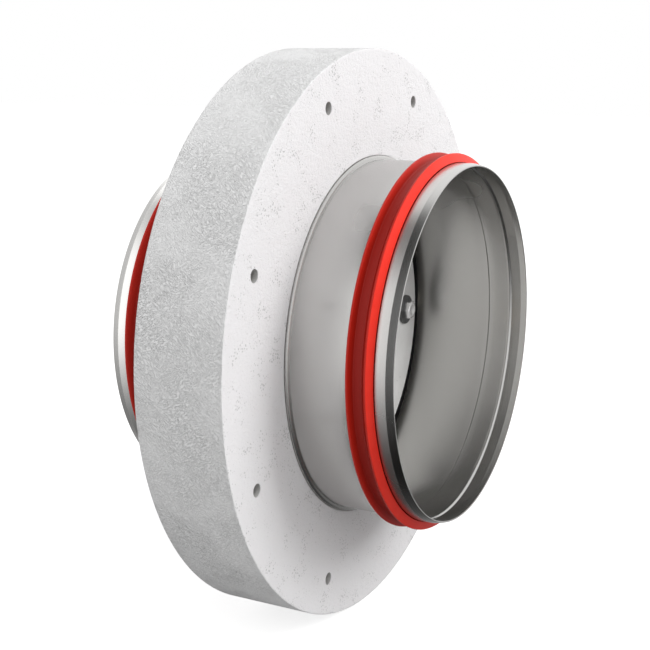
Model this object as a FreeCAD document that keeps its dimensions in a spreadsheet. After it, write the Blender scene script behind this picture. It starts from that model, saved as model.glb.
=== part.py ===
import FreeCAD, Part
import math
import os
import Sketcher
from FreeCAD import Vector

# Round fire damper for a 200 mm duct. A refractory ring, laminated from two boards, carries a
# galvanised spigot with a double-lip seal on each side. A laminated blade closes the tunnel. It
# swings on two stub shafts, and a torsion spring shuts it once the fusible link has let it go.
# The duct's axis is Y, with the front mouth towards -Y. Z is up. The origin is the ring's centre.
# The blade is modelled shut.

SIZES = (
    # The refractory ring
    ("ring_dia", 320.0),
    ("board_thick", 25.0),
    ("ring_chamfer", 0.5),
    ("ring_hole_inset", 20.0),
    ("ring_hole_count", 8.0),
    ("ring_hole_dia", 7.0),
    ("bore_clearance", 0.1),
    # The spigots, rolled from sheet
    ("tube_dia", 198.6),
    ("sheet_thick", 0.8),
    ("spigot_reach", 59.0),
    ("leadin_length", 5.0),
    ("leadin_drop", 1.0),
    ("guide_band", 9.9),
    ("lock_bead_width", 2.2),
    ("lock_bead_depth", 1.0),
    ("seat_length", 12.0),
    ("seat_depth", 0.6),
    ("foot_bead_rise", 2.2),
    ("foot_bead_width", 1.6),
    ("foot_bead_sink", 0.5),
    ("foot_bead_gap", 0.3),
    # The double-lip seals
    ("seal_floor_thick", 1.8),
    ("seal_nose_length", 1.2),
    ("seal_nose_thick", 1.0),
    ("lip_reach", 6.1),
    ("lip_rake", 1.4),
    ("lip_root_reach", 3.5),
    ("lip_tip_thick", 1.1),
    ("rear_lip_inset", 1.7),
    ("seal_heel", 0.3),
    # The intumescent strip across the gap between the tubes
    ("strip_width", 20.0),
    ("strip_thick", 1.5),
    ("strip_gap", 0.2),
    # The blade
    ("blade_wall_gap", 8.0),
    ("blade_board_thick", 12.0),
    ("blade_chamfer", 0.4),
    ("blade_seal_thick", 2.0),
    ("blade_seal_root", 8.5),
    ("blade_seal_gap", 0.4),
    ("blade_seal_notch", 18.0),
    # The stub shafts and what they turn in
    ("shaft_dia", 8.0),
    ("shaft_running_gap", 0.05),
    ("shaft_end_inset", 2.0),
    ("shaft_end_chamfer", 0.5),
    ("shaft_neck_inset", 6.5),
    ("tongue_lap", 4.0),
    ("tongue_length", 32.0),
    ("tongue_width", 16.0),
    ("tongue_thick", 4.0),
    ("tongue_corner", 4.0),
    ("tongue_clearance", 0.1),
    ("bush_dia", 14.0),
    ("bush_sink", 0.2),
    ("bush_length", 24.0),
    ("bush_collar_dia", 20.0),
    ("bush_collar_inset", 10.0),
    ("bush_collar_thick", 3.0),
    ("bush_clearance", 0.1),
    ("spacer_dia", 13.0),
    ("spacer_end_gap", 0.3),
    ("spacer_clearance", 0.08),
    # The bolts that clamp the two blade boards on the tongues
    ("clamp_inset", 16.5),
    ("bolt_dia", 6.0),
    ("bolt_hole_dia", 6.6),
    ("bolt_head_flats", 10.0),
    ("bolt_head_height", 4.0),
    ("bolt_end_spare", 2.0),
    ("nut_height", 5.2),
    ("thread_clearance", 0.05),
    ("washer_dia", 18.0),
    ("washer_hole_dia", 6.4),
    ("washer_thick", 1.6),
    # The closing spring
    ("spring_wire", 1.2),
    ("spring_radius", 5.9),
    ("spring_pitch", 1.25),
    ("spring_whole_turns", 3.0),
    ("spring_edge_gap", 0.4),
    ("spring_bend", 1.6),
    ("spring_rest_rise", 14.5),
    ("spring_rest_length", 14.0),
    ("spring_face_gap", 0.3),
    ("spring_anchor_ahead", 15.0),
    ("spring_anchor_drop", 11.7),
    ("spring_hole_clearance", 0.2),
    # The stops, welded to the tubes
    ("stop_thick", 1.5),
    ("stop_half_angle", 9.0),
    ("stop_overlap", 4.5),
    ("stop_foot", 17.0),
    ("stop_gap", 0.3),
    ("weld_gap", 0.1),
    ("open_stop_start", 18.0),
    ("open_stop_width", 12.0),
    ("open_stop_overlap", 6.5),
    ("open_stop_foot", 12.0),
    # The latch that keeps the blade shut
    ("latch_width", 10.0),
    ("latch_thick", 0.6),
    ("latch_root", 50.0),
    ("latch_bend", 38.0),
    ("latch_overlap", 3.5),
    ("latch_gap", 0.4),
    # The fusible link, its bracket and the blade's hook
    ("hook_inset", 33.5),
    ("hook_distance", 39.0),
    ("hook_width", 16.0),
    ("hook_base", 12.0),
    ("hook_rise", 12.0),
    ("hook_thick", 1.5),
    ("hook_hole_dia", 4.5),
    ("hook_hole_rise", 6.0),
    ("hook_screw_inset", 7.5),
    ("hook_screw_spread", 8.0),
    ("hook_screw_dia", 4.0),
    ("hook_screw_length", 10.0),
    ("hook_screw_head_dia", 7.0),
    ("hook_screw_head_height", 2.2),
    ("link_side_gap", 0.5),
    ("link_blade_gap", 1.0),
    ("link_plate_length", 27.0),
    ("link_plate_width", 10.0),
    ("link_plate_thick", 0.8),
    ("link_corner", 3.0),
    ("link_lap", 12.0),
    ("link_edge", 5.0),
    ("link_hole_dia", 4.4),
    ("bracket_width", 12.0),
    ("bracket_thick", 1.5),
    ("bracket_above_screw", 5.0),
    ("bracket_foot", 16.0),
    ("link_screw_dia", 4.0),
    ("link_screw_head_dia", 7.0),
    ("link_screw_head_height", 2.6),
    ("link_nut_flats", 7.0),
    ("link_nut_height", 3.2),
    ("link_screw_spare", 1.0),
)

# Places that several pieces share. A distance ahead is measured from the ring's middle towards
# the mouth.
TUBE_OUT = "(Sizes.tube_dia / 2)"
TUBE_IN = "(Sizes.tube_dia / 2 - Sizes.sheet_thick)"
SEAT_OUT = "(Sizes.tube_dia / 2 - Sizes.seat_depth)"
BORE = "(Sizes.tube_dia / 2 + Sizes.bore_clearance)"
WALL = "(Sizes.tube_dia / 2 - Sizes.sheet_thick - Sizes.weld_gap)"
MOUTH = "(Sizes.board_thick + Sizes.spigot_reach)"
SEAT_FRONT = f"({MOUTH} - Sizes.guide_band - Sizes.lock_bead_width)"
SEAT_BACK = f"({SEAT_FRONT} - Sizes.seat_length)"
STRIP_IN = "(Sizes.tube_dia / 2 - Sizes.strip_thick)"
BEAD_OUT = "(Sizes.tube_dia / 2 + Sizes.foot_bead_rise)"
BLADE_R = f"({TUBE_IN} - Sizes.blade_wall_gap)"
SEAL_ROOT = f"({BLADE_R} - Sizes.blade_seal_root)"
SEAL_OUT = f"({STRIP_IN} - Sizes.blade_seal_gap)"
FACE = "Sizes.blade_board_thick"
BOLT_SEAT = "(Sizes.blade_board_thick + Sizes.washer_thick)"
NECK_X = f"({BLADE_R} - Sizes.shaft_neck_inset)"
TONGUE_END_X = f"({NECK_X} + Sizes.tongue_lap)"
TONGUE_X = f"({TONGUE_END_X} - Sizes.tongue_length)"
BUSH_X = f"({STRIP_IN} + Sizes.bush_sink)"
BUSH_END_X = f"({BUSH_X} + Sizes.bush_length)"
COLLAR_X = f"({BUSH_X} + Sizes.bush_collar_inset)"
SHAFT_END_X = f"({BUSH_END_X} - Sizes.shaft_end_inset)"
CLAMP_X = f"({BLADE_R} - Sizes.clamp_inset)"
HOOK_X = f"({BLADE_R} - Sizes.hook_inset)"
HOOK_AHEAD = "Sizes.hook_distance"
HOOK_FACE = "(Sizes.blade_board_thick + Sizes.hook_thick)"
HOOK_HOLE = "(Sizes.blade_board_thick + Sizes.hook_hole_rise)"
LINK_X = f"({HOOK_X} - Sizes.link_side_gap)"
ARM_X = f"({LINK_X} - 2 * Sizes.link_plate_thick)"
ARM_IN_X = f"({ARM_X} - Sizes.bracket_thick)"
LINK_TOP = "(Sizes.blade_board_thick + Sizes.link_blade_gap)"
LINK_LAP = f"({LINK_TOP} + Sizes.link_plate_length - Sizes.link_lap)"
LINK_FOOT = f"({LINK_LAP} + Sizes.link_plate_length)"
LINK_SCREW = f"({LINK_FOOT} - Sizes.link_edge)"
BRACKET_TOP = f"({LINK_SCREW} - Sizes.bracket_above_screw)"

FRONT, REAR = 1, -1
RIGHT, LEFT = 1, -1
TOP, BOTTOM = 1, -1
HEX_CORNERS = range(30, 390, 60)
COIL_ARCS = 10

doc = FreeCAD.newDocument("RoundFireDamper")
sheet = doc.addObject("Spreadsheet::Sheet", "Sizes")
for row, (alias, amount) in enumerate(SIZES, start=1):
    sheet.set(f"A{row}", str(amount))
    sheet.setAlias(f"A{row}", alias)
doc.recompute()

nodes = []


def value(expression):
    """What an expression on the sheet's sizes comes to."""
    return float(sheet.evalExpression(expression))


def new_body(label):
    """A body whose label is the name of its node."""
    body = doc.addObject("PartDesign::Body", label)
    body.Label = label
    nodes.append(body)
    return body


def origin_feature(body, role):
    """One plane or axis of a body's own origin."""
    return next(feature for feature in body.Origin.OriginFeatures if feature.Role == role)


def new_sketch(body, name, role, start="0"):
    """A sketch on an origin plane, moved along the plane's normal by start."""
    sketch = body.newObject("Sketcher::SketchObject", name)
    sketch.AttachmentSupport = [(origin_feature(body, role), "")]
    sketch.MapMode = "FlatFace"
    if start != "0":
        sketch.setExpression("AttachmentOffset.Base.z", start)
    return sketch


def bind(sketch, kind, *where, expression):
    """One driving constraint, with its value from the sheet."""
    index = sketch.addConstraint(Sketcher.Constraint(kind, *where, value(expression)))
    sketch.setExpression(f"Constraints[{index}]", expression)


def place(sketch, geometry, vertex, across, up):
    """Ties a vertex to its two distances from the sketch's origin."""
    for kind, axis, expression in (("DistanceX", -2, across), ("DistanceY", -1, up)):
        if expression == "0":
            sketch.addConstraint(Sketcher.Constraint("PointOnObject", geometry, vertex, axis))
        else:
            bind(sketch, kind, -1, 1, geometry, vertex, expression=expression)


def circle(sketch, across, up, diameter):
    """A circle by its centre and diameter."""
    centre = Vector(value(across), value(up), 0)
    index = sketch.addGeometry(Part.Circle(centre, Vector(0, 0, 1), value(diameter) / 2))
    bind(sketch, "Diameter", index, expression=diameter)
    place(sketch, index, 3, across, up)


def arc_between(start, end, radius, centre_on_left):
    """The arc of less than half a turn from start to end. It is stored anticlockwise."""
    chord = end - start
    reach = math.sqrt(radius ** 2 - chord.Length ** 2 / 4)
    side = Vector(-chord.y, chord.x, 0).normalize() * (reach if centre_on_left else -reach)
    centre = start + chord / 2 + side
    first, last = (start, end) if centre_on_left else (end, start)
    angles = [math.atan2(point.y - centre.y, point.x - centre.x) for point in (first, last)]
    return Part.ArcOfCircle(Part.Circle(centre, Vector(0, 0, 1), radius), *angles)


def outline(sketch, corners):
    """A closed outline. A corner is (across, up), or (across, up, radius, side) where the edge
    that arrives there is an arc with its centre on that side of the way round."""
    points = [Vector(value(corner[0]), value(corner[1]), 0) for corner in corners]
    edges = []
    for index, corner in enumerate(corners):
        start, end = points[index - 1], points[index]
        if len(corner) == 2:
            edges.append((sketch.addGeometry(Part.LineSegment(start, end)), 1, 2))
            continue
        left = corner[3] == "left"
        added = sketch.addGeometry(arc_between(start, end, value(corner[2]), left))
        edges.append((added, 1, 2) if left else (added, 2, 1))
    for index, corner in enumerate(corners):
        edge, _, end = edges[index]
        following, start, _ = edges[(index + 1) % len(corners)]
        sketch.addConstraint(Sketcher.Constraint("Coincident", edge, end, following, start))
        place(sketch, edge, end, corner[0], corner[1])
        if len(corner) > 2:
            bind(sketch, "Radius", edge, expression=corner[2])


def rectangle(sketch, left, right, low, high):
    """A rectangle by its four sides."""
    outline(sketch, [(left, low), (right, low), (right, high), (left, high)])


def hexagon(sketch, across, up, flats):
    """A hexagon by its centre and its width across flats."""
    reach = f"{flats} / sqrt(3)"
    outline(
        sketch,
        [
            (f"{across} + {reach} * cos({turn})", f"{up} + {reach} * sin({turn})")
            for turn in HEX_CORNERS
        ],
    )


def sector(sketch, middle, half, inner, outer):
    """A piece of a ring about the sketch's origin, half an angle to each side of the middle."""
    first = f"({middle} - {half})"
    last = f"({middle} + {half})"
    outline(
        sketch,
        [
            (f"{inner} * cos({first})", f"{inner} * sin({first})", inner, "right"),
            (f"{outer} * cos({first})", f"{outer} * sin({first})"),
            (f"{outer} * cos({last})", f"{outer} * sin({last})", outer, "left"),
            (f"{inner} * cos({last})", f"{inner} * sin({last})"),
        ],
    )


def ahead(facing, near, far):
    """The start and length, along the front's normal, of what lies between two distances."""
    start = near if facing == FRONT else f"-({far})"
    return start, f"({far}) - ({near})"


def pad(body, sketch, length):
    """Adds material from the sketch along its plane's normal."""
    feature = body.newObject("PartDesign::Pad", "Pad")
    feature.Profile = sketch
    feature.setExpression("Length", length)
    doc.recompute()
    return feature


def checked_cut(body, feature, before):
    """Recomputes a cut and makes sure that it took material away."""
    doc.recompute()
    assert body.Shape.Volume < before, f"{body.Label}: {feature.Name} cuts nothing"
    return feature


def pocket(body, sketch, length):
    """Cuts from the sketch along its plane's normal."""
    before = body.Shape.Volume
    feature = body.newObject("PartDesign::Pocket", "Pocket")
    feature.Profile = sketch
    feature.Reversed = True
    feature.setExpression("Length", length)
    return checked_cut(body, feature, before)


def turned(body, sketch, axis):
    """A full turn of the sketch about one of its own axes."""
    feature = body.newObject("PartDesign::Revolution", "Turned")
    feature.Profile = sketch
    feature.ReferenceAxis = (sketch, [axis])
    feature.Angle = 360
    doc.recompute()
    return feature


def turned_cut(body, sketch, axis):
    """Cuts a full turn of the sketch about one of its own axes."""
    before = body.Shape.Volume
    feature = body.newObject("PartDesign::Groove", "TurnedCut")
    feature.Profile = sketch
    feature.ReferenceAxis = (sketch, [axis])
    feature.Angle = 360
    return checked_cut(body, feature, before)


def mirror_sides(body, features):
    """Repeats features on the other side of the damper, right for left."""
    mirrored = body.newObject("PartDesign::Mirrored", "BothSides")
    mirrored.Originals = features
    mirrored.MirrorPlane = (origin_feature(body, "YZ_Plane"), [""])
    body.Tip = mirrored
    doc.recompute()


def ring_board(label, facing):
    """One of the two refractory boards: a disc with the tunnel's bore, a step round it for the
    spigot's foot bead, the fixing holes, and half of each bush's seat where the boards meet."""
    body = new_body(label)
    outer = "Sizes.ring_dia / 2"
    face = f"{-facing} * Sizes.board_thick"
    step = f"({BEAD_OUT} + Sizes.foot_bead_gap)"
    step_floor = f"{-facing} * (Sizes.board_thick - Sizes.foot_bead_sink)"
    profile = new_sketch(body, "Profile", "XY_Plane")
    outline(
        profile,
        [
            (BORE, "0"),
            (outer, "0"),
            (outer, f"{-facing} * (Sizes.board_thick - Sizes.ring_chamfer)"),
            (f"{outer} - Sizes.ring_chamfer", face),
            (step, face),
            (step, step_floor),
            (BORE, step_floor),
        ],
    )
    turned(body, profile, "V_Axis")
    start, length = ahead(facing, "0", "Sizes.board_thick")
    first = "180 / Sizes.ring_hole_count"
    hole = new_sketch(body, "FixingHole", "XZ_Plane", start)
    hole_radius = f"({outer} - Sizes.ring_hole_inset)"
    circle(
        hole,
        f"{hole_radius} * cos({first})",
        f"{hole_radius} * sin({first})",
        "Sizes.ring_hole_dia",
    )
    cut = pocket(body, hole, length)
    holes = body.newObject("PartDesign::PolarPattern", "FixingHoles")
    holes.Originals = [cut]
    holes.Axis = (origin_feature(body, "Y_Axis"), [""])
    holes.Angle = 360
    holes.setExpression("Occurrences", "Sizes.ring_hole_count")
    body.Tip = holes
    doc.recompute()
    for side in (RIGHT, LEFT):
        seat = new_sketch(body, "BushSeat", "XY_Plane")
        outline(seat, bush_outline(side, "Sizes.bush_clearance", "0"))
        turned_cut(body, seat, "H_Axis")


def bush_outline(side, clearance, bore):
    """Half the section of a collared bush above the shaft's axis, grown by a clearance."""
    sleeve = f"(Sizes.bush_dia / 2 + {clearance})"
    collar = f"(Sizes.bush_collar_dia / 2 + {clearance})"
    start = f"{side} * ({BUSH_X} - {clearance})"
    end = f"{side} * ({BUSH_END_X} + {clearance})"
    collar_start = f"{side} * ({COLLAR_X} - {clearance})"
    collar_end = f"{side} * ({COLLAR_X} + Sizes.bush_collar_thick + {clearance})"
    return [
        (start, bore),
        (start, sleeve),
        (collar_start, sleeve),
        (collar_start, collar),
        (collar_end, collar),
        (collar_end, sleeve),
        (end, sleeve),
        (end, bore),
    ]


def spigot(label, facing):
    """A rolled tube: rounded rim, lead-in cone, guide band, inward bead that locks the seal, the
    seal's sunk seat, the bead that stops on the ring, and the plain end inside the ring."""
    body = new_body(label)
    turn, other_turn = ("left", "right") if facing == FRONT else ("right", "left")
    wall = "Sizes.sheet_thick"
    rim_radius = "Sizes.sheet_thick / 2"
    bead_radius = "Sizes.lock_bead_width / 2"
    rim_in = f"({TUBE_IN} - Sizes.leadin_drop)"
    seat_in = f"({SEAT_OUT} - {wall})"
    bead_in = f"({TUBE_IN} - Sizes.lock_bead_depth)"
    bead_front = f"({SEAT_FRONT} + Sizes.lock_bead_width)"
    bead_middle = f"({SEAT_FRONT} + {bead_radius})"
    seat_step = f"({SEAT_BACK} - {wall})"
    leadin = f"({MOUTH} - Sizes.leadin_length)"
    rim = f"({MOUTH} - {rim_radius})"
    inner_end = "(Sizes.strip_width / 2 + Sizes.strip_gap)"
    foot = "Sizes.board_thick"
    corners = [
        (TUBE_IN, inner_end),
        (TUBE_IN, seat_step),
        (seat_in, SEAT_BACK),
        (seat_in, SEAT_FRONT),
        (bead_in, bead_middle, bead_radius, turn),
        (TUBE_IN, bead_front, bead_radius, turn),
        (TUBE_IN, leadin),
        (rim_in, rim),
        (f"{rim_in} + {rim_radius}", MOUTH, rim_radius, turn),
        (f"{rim_in} + {wall}", rim, rim_radius, turn),
        (TUBE_OUT, leadin),
        (TUBE_OUT, bead_front),
        (f"{bead_in} + {wall}", bead_middle, bead_radius, other_turn),
        (SEAT_OUT, SEAT_FRONT, bead_radius, other_turn),
        (SEAT_OUT, SEAT_BACK),
        (TUBE_OUT, seat_step),
        (TUBE_OUT, f"{foot} + Sizes.foot_bead_width"),
        (BEAD_OUT, foot, "Sizes.foot_bead_rise", turn),
        (BEAD_OUT, f"{foot} - Sizes.foot_bead_sink"),
        (TUBE_OUT, f"{foot} - Sizes.foot_bead_sink"),
        (TUBE_OUT, inner_end),
    ]
    profile = new_sketch(body, "Profile", "XY_Plane")
    outline(profile, [(radius, f"{-facing} * ({along})", *arc) for radius, along, *arc in corners])
    turned(body, profile, "V_Axis")
    return body


def spring_anchor_hole(body):
    """The small hole in the left of the tube's wall that the closing spring hooks into."""
    hole = new_sketch(body, "SpringAnchor", "YZ_Plane", f"-{BORE}")
    circle(
        hole,
        "-Sizes.spring_anchor_ahead",
        "-Sizes.spring_anchor_drop",
        "Sizes.spring_wire + 2 * Sizes.spring_hole_clearance",
    )
    pocket(body, hole, "4 * Sizes.sheet_thick")


def lip_seal(label, facing):
    """The rubber ring in the tube's seat: a flat floor, a nose that is held in the lock bead, and
    two steep lips that lean back a little, each with a rounded tip."""
    body = new_body(label)
    turn = "left" if facing == FRONT else "right"
    floor = f"({SEAT_OUT} + Sizes.seal_floor_thick)"
    tip = f"({SEAT_OUT} + Sizes.lip_reach)"
    nose = f"({SEAT_FRONT} + Sizes.seal_nose_length)"
    tip_radius = "0.55 * Sizes.lip_tip_thick"
    crest_edge = f"{tip} - Sizes.lip_tip_thick / 3"
    crest_back = f"{tip} - Sizes.lip_tip_thick / 2"
    front_crest = f"({nose} - Sizes.lip_rake)"
    rear_crest = f"({SEAT_BACK} + Sizes.rear_lip_inset)"
    corners = [
        (SEAT_OUT, SEAT_BACK),
        (SEAT_OUT, SEAT_FRONT),
        (f"{SEAT_OUT} + Sizes.seal_nose_thick", nose),
        (crest_edge, front_crest),
        (crest_back, f"{front_crest} - Sizes.lip_tip_thick", tip_radius, turn),
        (floor, f"{front_crest} - Sizes.lip_root_reach"),
        (floor, f"{rear_crest} + Sizes.lip_rake"),
        (crest_edge, rear_crest),
        (crest_back, f"{rear_crest} - Sizes.lip_tip_thick", tip_radius, turn),
        (floor, f"{SEAT_BACK} + Sizes.seal_heel"),
    ]
    profile = new_sketch(body, "Profile", "XY_Plane")
    outline(profile, [(radius, f"{-facing} * ({along})", *arc) for radius, along, *arc in corners])
    turned(body, profile, "V_Axis")


def intumescent_strip():
    """The strip that swells in a fire. It lines the gap between the tubes, with a hole for each
    bush."""
    body = new_body("intumescent_strip")
    profile = new_sketch(body, "Profile", "XY_Plane")
    rectangle(profile, STRIP_IN, TUBE_OUT, "-Sizes.strip_width / 2", "Sizes.strip_width / 2")
    turned(body, profile, "V_Axis")
    holes = new_sketch(body, "BushHoles", "YZ_Plane", f"-{BORE}")
    circle(holes, "0", "0", "Sizes.bush_dia + 2 * Sizes.bush_clearance")
    pocket(body, holes, f"2 * {BORE}")


def bush(label, side):
    """A collared bush. Its collar is trapped between the two boards."""
    body = new_body(label)
    profile = new_sketch(body, "Profile", "XY_Plane")
    outline(profile, bush_outline(side, "0", "Sizes.shaft_dia / 2 + Sizes.shaft_running_gap"))
    turned(body, profile, "H_Axis")


def stub_shaft(label, side):
    """A round pin with a flat tongue, which is clamped between the blade boards."""
    body = new_body(label)
    turn = "left" if side == RIGHT else "right"
    root = f"{side} * {TONGUE_X}"
    square = f"{side} * ({TONGUE_X} + Sizes.tongue_corner)"
    end = f"{side} * {TONGUE_END_X}"
    half = "Sizes.tongue_width / 2"
    corner = "Sizes.tongue_corner"
    start, length = "-Sizes.tongue_thick / 2", "Sizes.tongue_thick"
    tongue = new_sketch(body, "Tongue", "XZ_Plane", start)
    outline(
        tongue,
        [
            (square, f"-{half}", corner, turn),
            (end, f"-{half}"),
            (end, half),
            (square, half),
            (root, f"{half} - {corner}", corner, turn),
            (root, f"-{half} + {corner}"),
        ],
    )
    pad(body, tongue, length)
    radius = "Sizes.shaft_dia / 2"
    tip = f"{side} * {SHAFT_END_X}"
    pin = new_sketch(body, "Pin", "XY_Plane")
    outline(
        pin,
        [
            (f"{side} * {NECK_X}", "0"),
            (f"{side} * {NECK_X}", radius),
            (f"{side} * ({SHAFT_END_X} - Sizes.shaft_end_chamfer)", radius),
            (tip, f"{radius} - Sizes.shaft_end_chamfer"),
            (tip, "0"),
        ],
    )
    turned(body, pin, "H_Axis")
    hole = new_sketch(body, "BoltHole", "XZ_Plane", start)
    circle(hole, f"{side} * {CLAMP_X}", "0", "Sizes.bolt_hole_dia")
    pocket(body, hole, length)


def blade_board(label, facing):
    """One of the two boards of the blade. Its rim is stepped back for half the seal, and its inner
    face has the pockets for the shafts' tongues and half a groove for each pin."""
    body = new_body(label)
    rebate = f"{-facing} * Sizes.blade_seal_thick / 2"
    face = f"{-facing} * {FACE}"
    profile = new_sketch(body, "Profile", "XY_Plane")
    outline(
        profile,
        [
            ("0", "0"),
            (SEAL_ROOT, "0"),
            (SEAL_ROOT, rebate),
            (BLADE_R, rebate),
            (BLADE_R, f"{-facing} * ({FACE} - Sizes.blade_chamfer)"),
            (f"{BLADE_R} - Sizes.blade_chamfer", face),
            ("0", face),
        ],
    )
    turned(body, profile, "V_Axis")
    gap = "Sizes.tongue_clearance"
    start, length = ahead(facing, "0", f"Sizes.tongue_thick / 2 + {gap}")
    half = f"(Sizes.tongue_width / 2 + {gap})"
    for side in (RIGHT, LEFT):
        seat = new_sketch(body, "TongueSeat", "XZ_Plane", start)
        rectangle(
            seat,
            f"{side} * ({TONGUE_X} - {gap})",
            f"{side} * ({TONGUE_END_X} + {gap})",
            f"-{half}",
            half,
        )
        pocket(body, seat, length)
        groove = new_sketch(body, "PinGroove", "XY_Plane")
        rectangle(
            groove,
            f"{side} * ({NECK_X} - {gap})",
            f"{side} * ({BLADE_R} + {gap})",
            "0",
            f"Sizes.shaft_dia / 2 + {gap}",
        )
        turned_cut(body, groove, "H_Axis")
    start, length = ahead(facing, "0", FACE)
    holes = new_sketch(body, "BoltHoles", "XZ_Plane", start)
    for side in (RIGHT, LEFT):
        circle(holes, f"{side} * {CLAMP_X}", "0", "Sizes.bolt_hole_dia")
    pocket(body, holes, length)
    return body


def hook_screw_places():
    """Where the two screws go that hold the hook on the blade: across and up."""
    across = f"-({HOOK_X} + Sizes.hook_screw_inset)"
    return [
        (across, f"Sizes.hook_distance + {shift} * Sizes.hook_screw_spread / 2")
        for shift in (BOTTOM, TOP)
    ]


def hook_screw_holes(body):
    """The blind holes for the hook's screws in the front blade board."""
    depth = "Sizes.hook_screw_length"
    holes = new_sketch(body, "HookScrewHoles", "XZ_Plane", f"{HOOK_FACE} - {depth}")
    for across, up in hook_screw_places():
        circle(holes, across, up, "Sizes.hook_screw_dia + 2 * Sizes.thread_clearance")
    pocket(body, holes, depth)


def blade_seal(label, half):
    """Half of the blade's flat lip seal. It is cut away beside the shafts."""
    body = new_body(label)
    level = f"{half} * Sizes.blade_seal_notch / 2"

    def width(radius):
        return f"sqrt({radius} ^ 2 - Sizes.blade_seal_notch ^ 2 / 4)"

    sketch = new_sketch(body, "Half", "XZ_Plane", "-Sizes.blade_seal_thick / 2")
    outline(
        sketch,
        [
            (f"{half} * {width(SEAL_ROOT)}", level, SEAL_ROOT, "right"),
            (f"{half} * {width(SEAL_OUT)}", level),
            (f"{-half} * {width(SEAL_OUT)}", level, SEAL_OUT, "left"),
            (f"{-half} * {width(SEAL_ROOT)}", level),
        ],
    )
    pad(body, sketch, "Sizes.blade_seal_thick")


def clamp_bolts():
    """Two bolts with hexagon heads in front of the blade. Their heads' corners are turned off."""
    body = new_body("clamp_bolts")
    tip = f"({BOLT_SEAT} + Sizes.nut_height + Sizes.bolt_end_spare)"
    shank_sketch = new_sketch(body, "Shank", "XZ_Plane", f"-{tip}")
    circle(shank_sketch, CLAMP_X, "0", "Sizes.bolt_dia")
    shank = pad(body, shank_sketch, f"{tip} + {BOLT_SEAT}")
    head_sketch = new_sketch(body, "Head", "XZ_Plane", BOLT_SEAT)
    hexagon(head_sketch, CLAMP_X, "0", "Sizes.bolt_head_flats")
    head = pad(body, head_sketch, "Sizes.bolt_head_height")
    top = f"({BOLT_SEAT} + Sizes.bolt_head_height)"
    crown = "0.47 * Sizes.bolt_head_flats"
    corner = "0.62 * Sizes.bolt_head_flats"
    drop = f"({corner} - {crown}) / sqrt(3)"
    chamfer_sketch = new_sketch(body, "Chamfer", "XY_Plane")
    outline(
        chamfer_sketch,
        [
            (f"{CLAMP_X} + {crown}", f"-{top}"),
            (f"{CLAMP_X} + {corner}", f"-{top}"),
            (f"{CLAMP_X} + {corner}", f"-{top} + {drop}"),
        ],
    )
    centre = value(CLAMP_X)
    axis_line = Part.LineSegment(Vector(centre, -value(top), 0), Vector(centre, 0, 0))
    axis = chamfer_sketch.addGeometry(axis_line, True)
    place(chamfer_sketch, axis, 1, CLAMP_X, f"-{top}")
    place(chamfer_sketch, axis, 2, CLAMP_X, "0")
    chamfer = turned_cut(body, chamfer_sketch, "Axis0")
    mirror_sides(body, [shank, head, chamfer])


def clamp_washers():
    """Four wide washers, in front of and behind the blade."""
    body = new_body("clamp_washers")
    washers = []
    for facing in (FRONT, REAR):
        start, length = ahead(facing, FACE, BOLT_SEAT)
        sketch = new_sketch(body, "Washer", "XZ_Plane", start)
        circle(sketch, CLAMP_X, "0", "Sizes.washer_dia")
        circle(sketch, CLAMP_X, "0", "Sizes.washer_hole_dia")
        washers.append(pad(body, sketch, length))
    mirror_sides(body, washers)


def clamp_nuts():
    """Two nuts behind the blade."""
    body = new_body("clamp_nuts")
    start, length = ahead(REAR, BOLT_SEAT, f"{BOLT_SEAT} + Sizes.nut_height")
    sketch = new_sketch(body, "Nut", "XZ_Plane", start)
    hexagon(sketch, CLAMP_X, "0", "Sizes.bolt_head_flats")
    circle(sketch, CLAMP_X, "0", "Sizes.bolt_dia + 2 * Sizes.thread_clearance")
    mirror_sides(body, [pad(body, sketch, length)])


def right_spacer():
    """The sleeve that keeps the blade's right edge off its bush."""
    body = new_body("right_spacer")
    profile = new_sketch(body, "Profile", "XY_Plane")
    rectangle(
        profile,
        f"{BLADE_R} + Sizes.spacer_end_gap",
        f"{BUSH_X} - Sizes.spacer_end_gap",
        "Sizes.shaft_dia / 2 + Sizes.spacer_clearance",
        "Sizes.spacer_dia / 2",
    )
    turned(body, profile, "H_Axis")


def end_stop(label, facing, middle):
    """An angle welded inside the tube. Its upstand stops the blade where it is shut."""
    body = new_body(label)
    near = f"({FACE} + Sizes.stop_gap)"
    half = "Sizes.stop_half_angle"
    start, length = ahead(facing, near, f"{near} + Sizes.stop_thick")
    upstand = new_sketch(body, "Upstand", "XZ_Plane", start)
    sector(upstand, middle, half, f"({BLADE_R} - Sizes.stop_overlap)", WALL)
    pad(body, upstand, length)
    start, length = ahead(facing, near, f"{near} + Sizes.stop_foot")
    foot = new_sketch(body, "Foot", "XZ_Plane", start)
    sector(foot, middle, half, f"({WALL} - Sizes.stop_thick)", WALL)
    pad(body, foot, length)


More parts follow.
